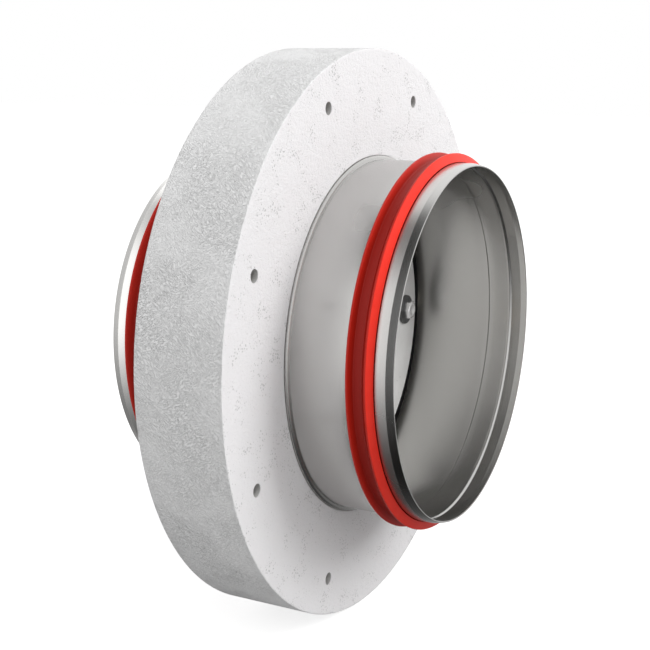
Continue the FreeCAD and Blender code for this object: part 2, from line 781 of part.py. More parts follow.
def open_stop():
    """The angle behind the blade, on the right, that stops it where it is open."""
    body = new_body("open_stop")
    low = f"({FACE} + Sizes.stop_gap)"
    high = f"({low} + Sizes.stop_thick)"
    end = f"({high} + Sizes.open_stop_foot)"
    inner = f"({WALL} - Sizes.stop_thick)"
    reach = "(Sizes.open_stop_start + Sizes.open_stop_width)"
    tip = f"sqrt({BLADE_R} ^ 2 - Sizes.open_stop_start ^ 2) - Sizes.open_stop_overlap"
    start, length = ahead(REAR, "Sizes.open_stop_start", reach)
    profile = new_sketch(body, "Profile", "XZ_Plane", start)
    outline(
        profile,
        [
            (tip, low),
            (f"sqrt({WALL} ^ 2 - {low} ^ 2)", low),
            (f"sqrt({WALL} ^ 2 - {end} ^ 2)", end, WALL, "left"),
            (f"sqrt({inner} ^ 2 - {end} ^ 2)", end),
            (f"sqrt({inner} ^ 2 - {high} ^ 2)", high, inner, "right"),
            (tip, high),
        ],
    )
    pad(body, profile, length)


def latch_spring():
    """The leaf spring at the top of the front tube that the blade snaps behind."""
    body = new_body("latch_spring")
    half = "Sizes.latch_width / 2"
    roof = f"(sqrt({TUBE_IN} ^ 2 - ({half}) ^ 2) - Sizes.weld_gap)"
    tip = f"({BLADE_R} - Sizes.latch_overlap)"
    end = f"-({FACE} + Sizes.latch_gap)"
    root = "-Sizes.latch_root"
    bend = "-Sizes.latch_bend"
    thick = "Sizes.latch_thick"
    profile = new_sketch(body, "Profile", "YZ_Plane", f"-{half}")
    outline(
        profile,
        [
            (root, roof),
            (root, f"{roof} - {thick}"),
            (bend, f"{roof} - {thick}"),
            (end, f"{tip} - {thick}"),
            (end, tip),
            (bend, roof),
        ],
    )
    pad(body, profile, "Sizes.latch_width")


def fuse_bracket():
    """The angle that holds the fusible link: an arm off the lower left of the tube, with a foot
    curved to its wall."""
    body = new_body("fuse_bracket")
    inner = f"({WALL} - Sizes.bracket_thick)"
    foot = f"({ARM_IN_X} - Sizes.bracket_foot)"
    start = f"{HOOK_AHEAD} - Sizes.bracket_width / 2"
    profile = new_sketch(body, "Profile", "XZ_Plane", start)
    outline(
        profile,
        [
            (f"-{ARM_X}", f"-{BRACKET_TOP}"),
            (f"-{ARM_X}", f"-sqrt({WALL} ^ 2 - {ARM_X} ^ 2)"),
            (f"-{foot}", f"-sqrt({WALL} ^ 2 - {foot} ^ 2)", WALL, "left"),
            (f"-{foot}", f"-sqrt({inner} ^ 2 - {foot} ^ 2)"),
            (f"-{ARM_IN_X}", f"-sqrt({inner} ^ 2 - {ARM_IN_X} ^ 2)", inner, "right"),
            (f"-{ARM_IN_X}", f"-{BRACKET_TOP}"),
        ],
    )
    pad(body, profile, "Sizes.bracket_width")
    hole = new_sketch(body, "ScrewHole", "YZ_Plane", f"-{ARM_X}")
    circle(hole, f"-{HOOK_AHEAD}", f"-{LINK_SCREW}", "Sizes.link_hole_dia")
    pocket(body, hole, "Sizes.bracket_thick")


def link_plate(label, face, top, hole):
    """One brass plate of the fusible link, with round corners and one hole."""
    body = new_body(label)
    foot = f"({top} + Sizes.link_plate_length)"
    left = f"-({HOOK_AHEAD} + Sizes.link_plate_width / 2)"
    right = f"-({HOOK_AHEAD} - Sizes.link_plate_width / 2)"
    round_off = "Sizes.link_corner"
    plate = new_sketch(body, "Plate", "YZ_Plane", f"-{face}")
    outline(
        plate,
        [
            (f"{left} + {round_off}", f"-{foot}", round_off, "left"),
            (f"{right} - {round_off}", f"-{foot}"),
            (right, f"-{foot} + {round_off}", round_off, "left"),
            (right, f"-{top} - {round_off}"),
            (f"{right} - {round_off}", f"-{top}", round_off, "left"),
            (f"{left} + {round_off}", f"-{top}"),
            (left, f"-{top} - {round_off}", round_off, "left"),
            (left, f"-{foot} + {round_off}"),
        ],
    )
    circle(plate, f"-{HOOK_AHEAD}", f"-{hole}", "Sizes.link_hole_dia")
    pad(body, plate, "Sizes.link_plate_thick")


def link_screw():
    """The screw that clamps the link's lower plate on its bracket, with its head on the arm."""
    body = new_body("fuse_link_screw")
    seat = f"({LINK_X} - Sizes.link_plate_thick)"
    tip = f"({seat} + Sizes.link_nut_height + Sizes.link_screw_spare)"
    shank = new_sketch(body, "Shank", "YZ_Plane", f"-{tip}")
    circle(shank, f"-{HOOK_AHEAD}", f"-{LINK_SCREW}", "Sizes.link_screw_dia")
    pad(body, shank, f"{tip} - {ARM_IN_X}")
    head = new_sketch(body, "Head", "YZ_Plane", f"-{ARM_IN_X}")
    circle(head, f"-{HOOK_AHEAD}", f"-{LINK_SCREW}", "Sizes.link_screw_head_dia")
    pad(body, head, "Sizes.link_screw_head_height")


def link_nut():
    """The nut on the link's screw, against the lower plate."""
    body = new_body("fuse_link_nut")
    seat = f"({LINK_X} - Sizes.link_plate_thick)"
    nut = new_sketch(body, "Nut", "YZ_Plane", f"-({seat} + Sizes.link_nut_height)")
    hexagon(nut, f"-{HOOK_AHEAD}", f"-{LINK_SCREW}", "Sizes.link_nut_flats")
    bore = "Sizes.link_screw_dia + 2 * Sizes.thread_clearance"
    circle(nut, f"-{HOOK_AHEAD}", f"-{LINK_SCREW}", bore)
    pad(body, nut, "Sizes.link_nut_height")


def blade_hook():
    """The angle on the blade that the link's upper plate hooks on when the blade is open."""
    body = new_body("blade_hook")
    outer = f"-({HOOK_X} + Sizes.hook_base)"
    fold = f"-({HOOK_X} + Sizes.hook_thick)"
    inner = f"-{HOOK_X}"
    tip = f"-({FACE} + Sizes.hook_rise)"
    start = "Sizes.hook_distance - Sizes.hook_width / 2"
    profile = new_sketch(body, "Profile", "XY_Plane", start)
    outline(
        profile,
        [
            (outer, f"-{FACE}"),
            (outer, f"-{HOOK_FACE}"),
            (fold, f"-{HOOK_FACE}"),
            (fold, tip),
            (inner, tip),
            (inner, f"-{FACE}"),
        ],
    )
    pad(body, profile, "Sizes.hook_width")
    eye = new_sketch(body, "Eye", "YZ_Plane", fold)
    circle(eye, f"-{HOOK_HOLE}", "Sizes.hook_distance", "Sizes.hook_hole_dia")
    pocket(body, eye, "Sizes.hook_thick")
    holes = new_sketch(body, "ScrewHoles", "XZ_Plane", FACE)
    for across, up in hook_screw_places():
        circle(holes, across, up, "Sizes.hook_screw_dia + 2 * Sizes.tongue_clearance")
    pocket(body, holes, "Sizes.hook_thick")


def hook_screws():
    """Two screws that hold the hook on the blade's front board."""
    body = new_body("hook_screws")
    for across, up in hook_screw_places():
        shank = new_sketch(body, "Shank", "XZ_Plane", f"{HOOK_FACE} - Sizes.hook_screw_length")
        circle(shank, across, up, "Sizes.hook_screw_dia")
        pad(body, shank, "Sizes.hook_screw_length")
        head = new_sketch(body, "Head", "XZ_Plane", HOOK_FACE)
        circle(head, across, up, "Sizes.hook_screw_head_dia")
        pad(body, head, "Sizes.hook_screw_head_height")


def bend(before, corner, after, radius):
    """The arc that rounds a corner of the wire, with its two ends."""
    back = (before - corner).normalize()
    on = (after - corner).normalize()
    half = back.getAngle(on) / 2
    reach = radius / math.tan(half)
    middle = corner + (back + on).normalize() * (radius / math.sin(half) - radius)
    first, last = corner + back * reach, corner + on * reach
    return first, Part.Arc(first, middle, last).toShape(), last


def closing_spring():
    """The torsion spring round the left shaft. One leg lies across the blade's front face, the
    coil winds down to the bush, and the other leg hooks into the front tube's wall."""
    radius = value("Sizes.spring_radius")
    wire = value("Sizes.spring_wire")
    bend_radius = value("Sizes.spring_bend")
    rise = value("Sizes.spring_pitch") / (2 * math.pi)
    rest_y = -value(f"{FACE} + Sizes.spring_face_gap + Sizes.spring_wire / 2")
    rest_z = value("Sizes.spring_rest_rise")
    anchor_y = -value("Sizes.spring_anchor_ahead")
    anchor_z = -value("Sizes.spring_anchor_drop")
    coil_start = -value(f"{BLADE_R} + Sizes.spring_edge_gap + Sizes.spring_wire / 2")
    rest_tip = -value(f"{BLADE_R} - Sizes.spring_rest_length")
    anchor_tip = -value(f"sqrt({TUBE_OUT} ^ 2 - Sizes.spring_anchor_drop ^ 2) - Sizes.weld_gap")
    first = math.atan2(rest_z, rest_y) - math.acos(radius / math.hypot(rest_y, rest_z))
    last = math.atan2(anchor_z, anchor_y) + math.acos(radius / math.hypot(anchor_y, anchor_z))
    total = first - last + 2 * math.pi * value("Sizes.spring_whole_turns")

    def coil_point(share):
        turn = first - total * share
        across = coil_start - rise * total * share
        return Vector(across, radius * math.cos(turn), radius * math.sin(turn))

    coil = [
        Part.Arc(
            coil_point(arc / COIL_ARCS),
            coil_point((arc + 0.5) / COIL_ARCS),
            coil_point((arc + 1) / COIL_ARCS),
        ).toShape()
        for arc in range(COIL_ARCS)
    ]
    coil_end = coil_point(1)
    rest_leg = math.sqrt(rest_y ** 2 + rest_z ** 2 - radius ** 2)
    anchor_leg = math.sqrt(anchor_y ** 2 + anchor_z ** 2 - radius ** 2)
    rest_corner = Vector(coil_start + rest_leg * rise / radius, rest_y, rest_z)
    anchor_corner = Vector(coil_end.x - anchor_leg * rise / radius, anchor_y, anchor_z)
    rest_end = Vector(rest_tip, rest_y, rest_z)
    anchor_end = Vector(anchor_tip, anchor_y, anchor_z)
    rest_first, rest_bend, rest_last = bend(rest_end, rest_corner, coil_point(0), bend_radius)
    anchor_first, anchor_bend, anchor_last = bend(coil_end, anchor_corner, anchor_end, bend_radius)
    path = Part.Wire(
        [
            Part.LineSegment(rest_end, rest_first).toShape(),
            rest_bend,
            Part.LineSegment(rest_last, coil_point(0)).toShape(),
            *coil,
            Part.LineSegment(coil_end, anchor_first).toShape(),
            anchor_bend,
            Part.LineSegment(anchor_last, anchor_end).toShape(),
        ]
    )
    section = Part.Wire([Part.Circle(rest_end, Vector(1, 0, 0), wire / 2).toShape()])
    spring = doc.addObject("Part::Feature", "closing_spring")
    spring.Label = "closing_spring"
    spring.Shape = path.makePipeShell([section], True, False)
    spring.Placement = FreeCAD.Placement()
    nodes.append(spring)
    swept = path.Length * math.pi * wire ** 2 / 4
    assert abs(spring.Shape.Volume / swept - 1) < 0.01, "closing_spring: the sweep lost material"


ring_board("ring_board_front", FRONT)
ring_board("ring_board_rear", REAR)
spring_anchor_hole(spigot("front_spigot", FRONT))
spigot("rear_spigot", REAR)
lip_seal("front_lip_seal", FRONT)
lip_seal("rear_lip_seal", REAR)
intumescent_strip()
bush("left_bush", LEFT)
bush("right_bush", RIGHT)
end_stop("upper_stop", REAR, "90")
end_stop("lower_stop", FRONT, "270")
open_stop()
latch_spring()
fuse_bracket()
link_plate("fuse_link_free_plate", LINK_X, LINK_TOP, f"({LINK_TOP} + Sizes.link_edge)")
link_plate("fuse_link_fixed_plate", f"({LINK_X} - Sizes.link_plate_thick)", LINK_LAP, LINK_SCREW)
link_screw()
link_nut()
closing_spring()
hook_screw_holes(blade_board("blade_front_board", FRONT))
blade_board("blade_rear_board", REAR)
blade_seal("blade_seal_upper", TOP)
blade_seal("blade_seal_lower", BOTTOM)
stub_shaft("left_stub_shaft", LEFT)
stub_shaft("right_stub_shaft", RIGHT)
right_spacer()
clamp_bolts()
clamp_washers()
clamp_nuts()
blade_hook()
hook_screws()

doc.recompute()
for feature in doc.Objects:
    faults = [state for state in feature.State if state in ("Invalid", "Error")]
    assert not faults, f"{feature.Label} is {faults}"
for node in nodes:
    assert not node.Shape.isNull() and node.Shape.isValid(), f"{node.Label} has a bad shape"
    assert node.Shape.Solids, f"{node.Label} has no solid"

os.makedirs("parts", exist_ok=True)
for node in nodes:
    node.Shape.exportStep(f"parts/{node.Label}.step")
    print(f"{node.Label}: {len(node.Shape.Solids)} solid(s), {node.Shape.Volume:.0f} mm3")
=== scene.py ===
"""Looks of the round fire damper: plastered ring, rolled spigots, red lip seals, sprung blade."""

import logging
import math
from dataclasses import dataclass, field
from enum import Enum

import bmesh
import bpy
import numpy as np
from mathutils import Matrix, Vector


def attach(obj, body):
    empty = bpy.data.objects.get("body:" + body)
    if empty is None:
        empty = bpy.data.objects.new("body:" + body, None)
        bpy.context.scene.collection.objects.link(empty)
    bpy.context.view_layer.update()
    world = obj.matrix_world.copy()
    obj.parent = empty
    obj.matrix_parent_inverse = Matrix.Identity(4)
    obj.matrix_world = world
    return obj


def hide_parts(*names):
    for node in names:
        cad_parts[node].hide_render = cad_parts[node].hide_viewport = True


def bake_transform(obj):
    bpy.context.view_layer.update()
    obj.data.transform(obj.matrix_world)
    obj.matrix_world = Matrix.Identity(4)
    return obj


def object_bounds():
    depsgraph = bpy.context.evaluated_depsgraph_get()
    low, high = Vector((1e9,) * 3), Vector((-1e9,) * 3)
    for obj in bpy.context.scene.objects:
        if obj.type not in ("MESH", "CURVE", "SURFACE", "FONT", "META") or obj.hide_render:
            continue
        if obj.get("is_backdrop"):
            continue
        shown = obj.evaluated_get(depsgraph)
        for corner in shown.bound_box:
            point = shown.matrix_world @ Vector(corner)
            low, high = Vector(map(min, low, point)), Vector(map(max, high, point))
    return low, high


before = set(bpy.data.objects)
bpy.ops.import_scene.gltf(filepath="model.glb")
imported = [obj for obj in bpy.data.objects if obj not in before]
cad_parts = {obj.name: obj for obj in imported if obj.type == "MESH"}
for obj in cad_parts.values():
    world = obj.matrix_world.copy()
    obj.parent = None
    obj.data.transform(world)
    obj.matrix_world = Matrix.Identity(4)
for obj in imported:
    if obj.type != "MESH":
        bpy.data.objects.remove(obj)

LOG = logging.getLogger("fire_damper")
MM = 0.001
FULL_TURN = 2 * math.pi
AXIS_X = np.array([1.0, 0.0, 0.0])
AXIS_Y = np.array([0.0, 1.0, 0.0])
AXIS_Z = np.array([0.0, 0.0, 1.0])
SMOOTH_BELOW = math.radians(32)
MERGE_DISTANCE = 0.002 * MM
# How much of a side or a run one corner's rounding may take up.
SIDE_SHARE = 0.48
PATH_SHARE = 0.45


class Side(Enum):
    """The sign of X on each side of the damper."""

    RIGHT = 1
    LEFT = -1


class Facing(Enum):
    """The sign of Y of each face of the damper."""

    FRONT = -1
    REAR = 1


# Meshes


def mesh_object(
    name: str, points: np.ndarray, quads: np.ndarray, ends: list | tuple = ()
) -> bpy.types.Object:
    """Makes a closed, smooth-shaded piece from points in metres, quads and end faces.

    Doubled points are merged, which also closes the poles, and the normals are turned outwards.

    Args:
        name: the piece's name.
        points: an array of n by 3 places.
        quads: an array of m by 4 indices of points.
        ends: the indices of each end face's points.

    Returns:
        The new object, with sharp edges kept sharp.
    """
    mesh = bpy.data.meshes.new(name)
    mesh.vertices.add(len(points))
    mesh.vertices.foreach_set("co", np.ascontiguousarray(points, np.float32).ravel())
    corners = np.concatenate([quads.ravel(), *(np.asarray(end) for end in ends)])
    sizes = np.array([4] * len(quads) + [len(end) for end in ends])
    mesh.loops.add(len(corners))
    mesh.loops.foreach_set("vertex_index", corners.astype(np.int32))
    mesh.polygons.add(len(sizes))
    mesh.polygons.foreach_set("loop_start", (np.cumsum(sizes) - sizes).astype(np.int32))
    mesh.update(calc_edges=True)
    close_mesh(mesh)
    return placed(name, mesh)


def placed(name: str, mesh: bpy.types.Mesh) -> bpy.types.Object:
    """Puts a mesh into the scene as an object at the origin.

    Args:
        name: the object's name.
        mesh: its mesh.

    Returns:
        The new object.
    """
    piece = bpy.data.objects.new(name, mesh)
    bpy.context.scene.collection.objects.link(piece)
    return piece


def close_mesh(mesh: bpy.types.Mesh) -> None:
    """Merges doubled points, turns the faces outwards and keeps the sharp edges sharp.

    Args:
        mesh: the mesh, which is changed in place.
    """
    work = bmesh.new()
    work.from_mesh(mesh)
    bmesh.ops.remove_doubles(work, verts=work.verts, dist=MERGE_DISTANCE)
    bmesh.ops.recalc_face_normals(work, faces=work.faces)
    for face in work.faces:
        face.smooth = True
    for edge in work.edges:
        edge.smooth = not edge.is_manifold or edge.calc_face_angle(0.0) < SMOOTH_BELOW
    work.to_mesh(mesh)
    work.free()


def grid_faces(rows: int, columns: int, close_rows: bool, close_columns: bool) -> np.ndarray:
    """Quads of a grid whose points are numbered row by row.

    Args:
        rows: how many rows of points.
        columns: how many points in a row.
        close_rows: whether the last row joins the first.
        close_columns: whether the last column joins the first.

    Returns:
        An array of four indices for each quad.
    """
    row = np.arange(rows if close_rows else rows - 1)
    column = np.arange(columns if close_columns else columns - 1)
    row, column = (grid.ravel() for grid in np.meshgrid(row, column, indexing="ij"))
    next_row = (row + 1) % rows
    next_column = (column + 1) % columns
    corners = [(row, column), (row, next_column), (next_row, next_column), (next_row, column)]
    return np.stack([r * columns + c for r, c in corners], axis=1)


def rounded(corners: list, radii: float | list | tuple, steps: int = 5) -> np.ndarray:
    """Rounds the corners of a closed outline with arcs.

    An arc of radius r at a corner whose half angle is h touches both sides r / tan(h) from the
    corner, and its centre is r / sin(h) along the bisector.

    Args:
        corners: the outline's corners, in millimetres.
        radii: one radius for all corners, or one for each.
        steps: how many points each arc has.

    Returns:
        The rounded outline's points in order, in millimetres.
    """
    corner = np.asarray(corners, float)
    back = np.roll(corner, 1, axis=0) - corner
    ahead = np.roll(corner, -1, axis=0) - corner
    back_length = np.linalg.norm(back, axis=1)
    ahead_length = np.linalg.norm(ahead, axis=1)
    back /= back_length[:, None]
    ahead /= ahead_length[:, None]
    half = np.arccos(np.clip((back * ahead).sum(axis=1), -1, 0.9999)) / 2
    half = np.minimum(half, math.pi / 2 - 1e-4)
    room = SIDE_SHARE * np.minimum(back_length, ahead_length)
    reach = np.minimum(np.broadcast_to(radii, len(corner)) / np.tan(half), room)
    radius = reach * np.tan(half)
    bisector = back + ahead
    bisector /= np.maximum(np.linalg.norm(bisector, axis=1), 1e-9)[:, None]
    centre = corner + bisector * (radius / np.sin(half))[:, None]
    first = corner + back * reach[:, None] - centre
    last = corner + ahead * reach[:, None] - centre
    start = np.arctan2(first[:, 1], first[:, 0])
    sweep = np.arctan2(last[:, 1], last[:, 0]) - start
    sweep = (sweep + math.pi) % FULL_TURN - math.pi
    angle = start[:, None] + sweep[:, None] * np.linspace(0, 1, steps)
    arc = np.stack([np.cos(angle), np.sin(angle)], axis=2) * radius[:, None, None]
    return (centre[:, None] + arc).reshape(-1, 2)


def refined(outline: np.ndarray, longest: float) -> np.ndarray:
    """Divides an outline's long edges evenly, so that no step is longer than a length.

    Args:
        outline: the closed outline's points, in millimetres.
        longest: the longest step, in millimetres.

    Returns:
        The outline with the added points.
    """
    step = np.roll(outline, -1, axis=0) - outline
    count = np.maximum(np.ceil(np.linalg.norm(step, axis=1) / longest), 1).astype(int)
    owner = np.repeat(np.arange(len(outline)), count)
    place = np.arange(count.sum()) - np.repeat(np.cumsum(count) - count, count)
    return outline[owner] + step[owner] * (place / count[owner])[:, None]


@dataclass(frozen=True)
class Axis:
    """An axis to turn outlines about, with the direction that a turn starts from."""

    origin: tuple = (0.0, 0.0, 0.0)
    along: np.ndarray = field(default_factory=lambda: AXIS_Y)
    start: np.ndarray = field(default_factory=lambda: AXIS_X)

    def place(self, radius: np.ndarray, along: np.ndarray, turn: np.ndarray) -> np.ndarray:
        """Turns radii, heights and angles into points.

        A point is the origin, plus its height along the axis, plus its radius along the start
        direction turned by its angle about the axis.

        Args:
            radius: distances from the axis, in millimetres.
            along: distances along the axis, in millimetres.
            turn: angles in radians.

        Returns:
            Points in metres, with one more dimension than the arguments.
        """
        side = np.cross(self.along, self.start)
        out = np.cos(turn)[..., None] * self.start + np.sin(turn)[..., None] * side
        place = np.array(self.origin) + along[..., None] * self.along + radius[..., None] * out
        return place * MM


DUCT_AXIS = Axis(along=-AXIS_Y, start=AXIS_X)
SHAFT_AXIS = Axis(along=AXIS_X, start=AXIS_Y)
UPRIGHT_AXIS = Axis(along=AXIS_Z, start=AXIS_X)


def turned(
    name: str, outline: np.ndarray, axis: Axis = DUCT_AXIS, segments: int = 96
) -> bpy.types.Object:
    """Turns a closed outline of (radius, height) once about an axis.

    Args:
        name: the piece's name.
        outline: the outline's points, in millimetres.
        axis: what it turns about.
        segments: how many steps one turn has.

    Returns:
        The new object.
    """
    turn = np.linspace(0, FULL_TURN, segments, endpoint=False)[:, None]
    radius, along, turn = np.broadcast_arrays(outline[None, :, 0], outline[None, :, 1], turn)
    points = axis.place(radius, along, turn).reshape(-1, 3)
    return mesh_object(name, points, grid_faces(segments, len(outline), True, True))


def swept(
    name: str,
    outline: np.ndarray,
    first: float | np.ndarray,
    last: float | np.ndarray,
    axis: Axis = DUCT_AXIS,
    steps: int = 48,
) -> bpy.types.Object:
    """Sweeps a closed outline of (radius, height) through part of a turn.

    A point's angle goes evenly from its first to its last one.

    Args:
        name: the piece's name.
        outline: the outline's points, in millimetres.
        first: where the sweep starts, one angle or one for each point.
        last: where it ends.
        axis: what it turns about.
        steps: how many steps the sweep has.

    Returns:
        The new object.
    """
    share = np.linspace(0, 1, steps + 1)[:, None]
    turn = first + share * (np.asarray(last) - first)
    radius, along, turn = np.broadcast_arrays(outline[None, :, 0], outline[None, :, 1], turn)
    points = axis.place(radius, along, turn).reshape(-1, 3)
    count = len(outline)
    ends = [np.arange(count)[::-1], np.arange(count) + steps * count]
    return mesh_object(name, points, grid_faces(steps + 1, count, False, True), ends)


def extruded(
    name: str, outline: np.ndarray, low: float, high: float, axis: Axis, edge: float = 0.15
) -> bpy.types.Object:
    """Extrudes a closed outline along an axis, with its rims rounded off a little.

    The outline moves in by edge times one less the sine of an angle, while the height moves by
    edge times one less its cosine, which rounds both rims.

    Args:
        name: the piece's name.
        outline: points of (first, second) across the axis, in millimetres.
        low: where it starts along the axis.
        high: where it ends.
        axis: the direction of extrusion and, as its start, the outline's first direction.
        edge: how far the rims are rounded.

    Returns:
        The new object.
    """
    inward = inset_outline(outline, 1.0) - outline
    angle = np.radians([0, 30, 60, 90])
    shift = edge * (1 - np.sin(angle))
    rise = edge * (1 - np.cos(angle))
    shift = np.concatenate([shift, shift[::-1]])
    height = np.concatenate([low + rise, (high - rise)[::-1]])
    shape = outline[None] + shift[:, None, None] * inward[None]
    second = np.cross(axis.along, axis.start)
    points = (
        np.array(axis.origin)
        + shape[..., :1] * axis.start
        + shape[..., 1:] * second
        + height[:, None, None] * axis.along
    )
    count = len(outline)
    ends = [np.arange(count)[::-1], np.arange(count) + (len(height) - 1) * count]
    faces = grid_faces(len(height), count, False, True)
    return mesh_object(name, points.reshape(-1, 3) * MM, faces, ends)


def inset_outline(outline: np.ndarray, distance: float) -> np.ndarray:
    """Moves each point of an outline inwards, along the mean of its two edges' normals.

    Args:
        outline: the closed outline's points.
        distance: how far they move.

    Returns:
        The moved points.
    """
    ahead = np.roll(outline, -1, axis=0) - outline
    ahead /= np.maximum(np.linalg.norm(ahead, axis=1), 1e-9)[:, None]
    normal = np.stack([-ahead[:, 1], ahead[:, 0]], axis=1)
    normal = normal + np.roll(normal, 1, axis=0)
    normal /= np.maximum(np.linalg.norm(normal, axis=1), 1e-9)[:, None]
    following = np.roll(outline, -1, axis=0)
    area = (outline[:, 0] * following[:, 1] - following[:, 0] * outline[:, 1]).sum()
    return outline + normal * distance * math.copysign(1, area)


def arc(radius: float, first: float, last: float, steps: int = 12) -> np.ndarray:
    """Points on a circle about the origin, between two angles in radians."""
    turn = np.linspace(first, last, steps)
    return np.stack([radius * np.cos(turn), radius * np.sin(turn)], axis=1)


def wire(name: str, path: np.ndarray, radius: float, sides: int = 14) -> bpy.types.Object:
    """Carries a circle along a path, with round ends.

    Each point's frame comes from its tangent and one fixed direction. The angles by which those
    frames twist from point to point are summed and taken off again, so the circle doesn't turn.

    Args:
        name: the piece's name.
        path: the path's points, in millimetres.
        radius: the wire's radius.
        sides: how many sides the circle has.

    Returns:
        The new object.
    """
    tangent = np.gradient(path, axis=0)
    tangent /= np.linalg.norm(tangent, axis=1)[:, None]
    # No stretch of the path runs this way, so it gives each point a direction across.
    fixed = np.array([0.37, 0.61, 0.70])
    across = np.cross(tangent, fixed)
    across /= np.linalg.norm(across, axis=1)[:, None]
    other = np.cross(tangent, across)
    carried = across[:-1] - (across[:-1] * tangent[1:]).sum(axis=1)[:, None] * tangent[1:]
    ahead = (carried * across[1:]).sum(axis=1)
    aside = (carried * other[1:]).sum(axis=1)
    twist = np.concatenate([[0], np.cumsum(np.arctan2(aside, ahead))])
    turn = twist[:, None] + np.linspace(0, FULL_TURN, sides, endpoint=False)
    out = np.cos(turn)[..., None] * across[:, None] + np.sin(turn)[..., None] * other[:, None]
    cap = np.radians([90, 60, 30])
    size = np.full(len(path), radius)
    rows = [path[:1] - tangent[:1] * radius * np.sin(a) for a in cap] + [path]
    rows += [path[-1:] + tangent[-1:] * radius * np.sin(a) for a in cap[::-1]]
    ends = radius * np.cos(cap)
    size = np.concatenate([ends, size, ends[::-1]])
    centre = np.concatenate(rows)
    rings = len(cap)
    frames = np.concatenate([out[:1].repeat(rings, axis=0), out, out[-1:].repeat(rings, axis=0)])
    points = centre[:, None] + frames * size[:, None, None]
    faces = grid_faces(len(centre), sides, False, True)
    return mesh_object(name, points.reshape(-1, 3) * MM, faces)


def rounded_path(corners: np.ndarray, radius: float, steps: int = 8) -> np.ndarray:
    """Rounds the inner corners of an open path in space.

    Each corner becomes a curve that touches both runs radius / tan(h) from it, where h is half the
    angle between them: a quadratic curve whose middle point is the corner.

    Args:
        corners: the path's points, in millimetres.
        radius: the bends' radius, about.
        steps: how many points each bend has.

    Returns:
        The rounded path's points.
    """
    middle = corners[1:-1]
    back = corners[:-2] - middle
    ahead = corners[2:] - middle
    room = PATH_SHARE * np.minimum(np.linalg.norm(back, axis=1), np.linalg.norm(ahead, axis=1))
    back /= np.linalg.norm(back, axis=1)[:, None]
    ahead /= np.linalg.norm(ahead, axis=1)[:, None]
    half = np.arccos(np.clip((back * ahead).sum(axis=1), -0.9999, 0.9999)) / 2
    reach = np.minimum(radius / np.tan(half), room)
    share = np.linspace(0, 1, steps)[None, :, None]
    first = (middle + back * reach[:, None])[:, None]
    last = (middle + ahead * reach[:, None])[:, None]
    corner = middle[:, None]
    bend = (1 - share) ** 2 * first + 2 * share * (1 - share) * corner + share**2 * last
    return np.concatenate([corners[:1], bend.reshape(-1, 3), corners[-1:]])


def drilled(
    piece: bpy.types.Object, centres: list | np.ndarray, radius: float, axis: Axis, depth: float
) -> bpy.types.Object:
    """Drills round holes in a piece and leaves the result as its mesh.

    Args:
        piece: the object to drill.
        centres: points on the holes' axes, in millimetres.
        radius: the holes' radius in millimetres.
        axis: the holes' direction.
        depth: how far each hole runs to both sides of its point.

    Returns:
        The same object.
    """
    outline = np.array([(0, -depth), (radius, -depth), (radius, depth), (0, depth)], float)
    drills = [
        turned(f"drill_{index}", outline, Axis(tuple(centre), axis.along, axis.start), 64)
        for index, centre in enumerate(centres)
    ]
    return cut_away(piece, drills)


def cut_away(piece: bpy.types.Object, tools: list) -> bpy.types.Object:
    """Cuts closed tools out of a piece, leaves the result as its mesh and removes the tools.

    Args:
        piece: the object to cut.
        tools: the closed objects to cut out of it.

    Returns:
        The same object.
    """
    for tool in tools:
        cut = piece.modifiers.new("Cut", "BOOLEAN")
        cut.operation = "DIFFERENCE"
        cut.solver = "EXACT"
        cut.object = tool
    bpy.context.view_layer.update()
    evaluated = piece.evaluated_get(bpy.context.evaluated_depsgraph_get())
    mesh = bpy.data.meshes.new_from_object(evaluated)
    piece.modifiers.clear()
    piece.data = mesh
    mesh.name = piece.name
    close_mesh(mesh)
    for tool in tools:
        bpy.data.objects.remove(tool)
    return piece


def joined(name: str, pieces: list) -> bpy.types.Object:
    """Joins several pieces into one, under a new name.

    Args:
        name: the joined piece's name.
        pieces: the objects, all at the origin.

    Returns:
        The joined object.
    """
    work = bmesh.new()
    for piece in pieces:
        work.from_mesh(piece.data)
        bpy.data.objects.remove(piece)
    mesh = bpy.data.meshes.new(name)
    work.to_mesh(mesh)
    work.free()
    return placed(name, mesh)


# A hexagon's crown is this share of its flats in radius, and a cone of this angle meets it.
HEAD_CROWN = 0.47
HEAD_CONE = math.radians(30)


def hexagon_radius(flats: float, turn: np.ndarray) -> np.ndarray:
    """The distance from a hexagon's centre to its side: half its flats over the cosine of the angle
    from the nearest flat's middle."""
    sixth = FULL_TURN / 6
    return flats / 2 / np.cos((turn + sixth / 2) % sixth - sixth / 2)


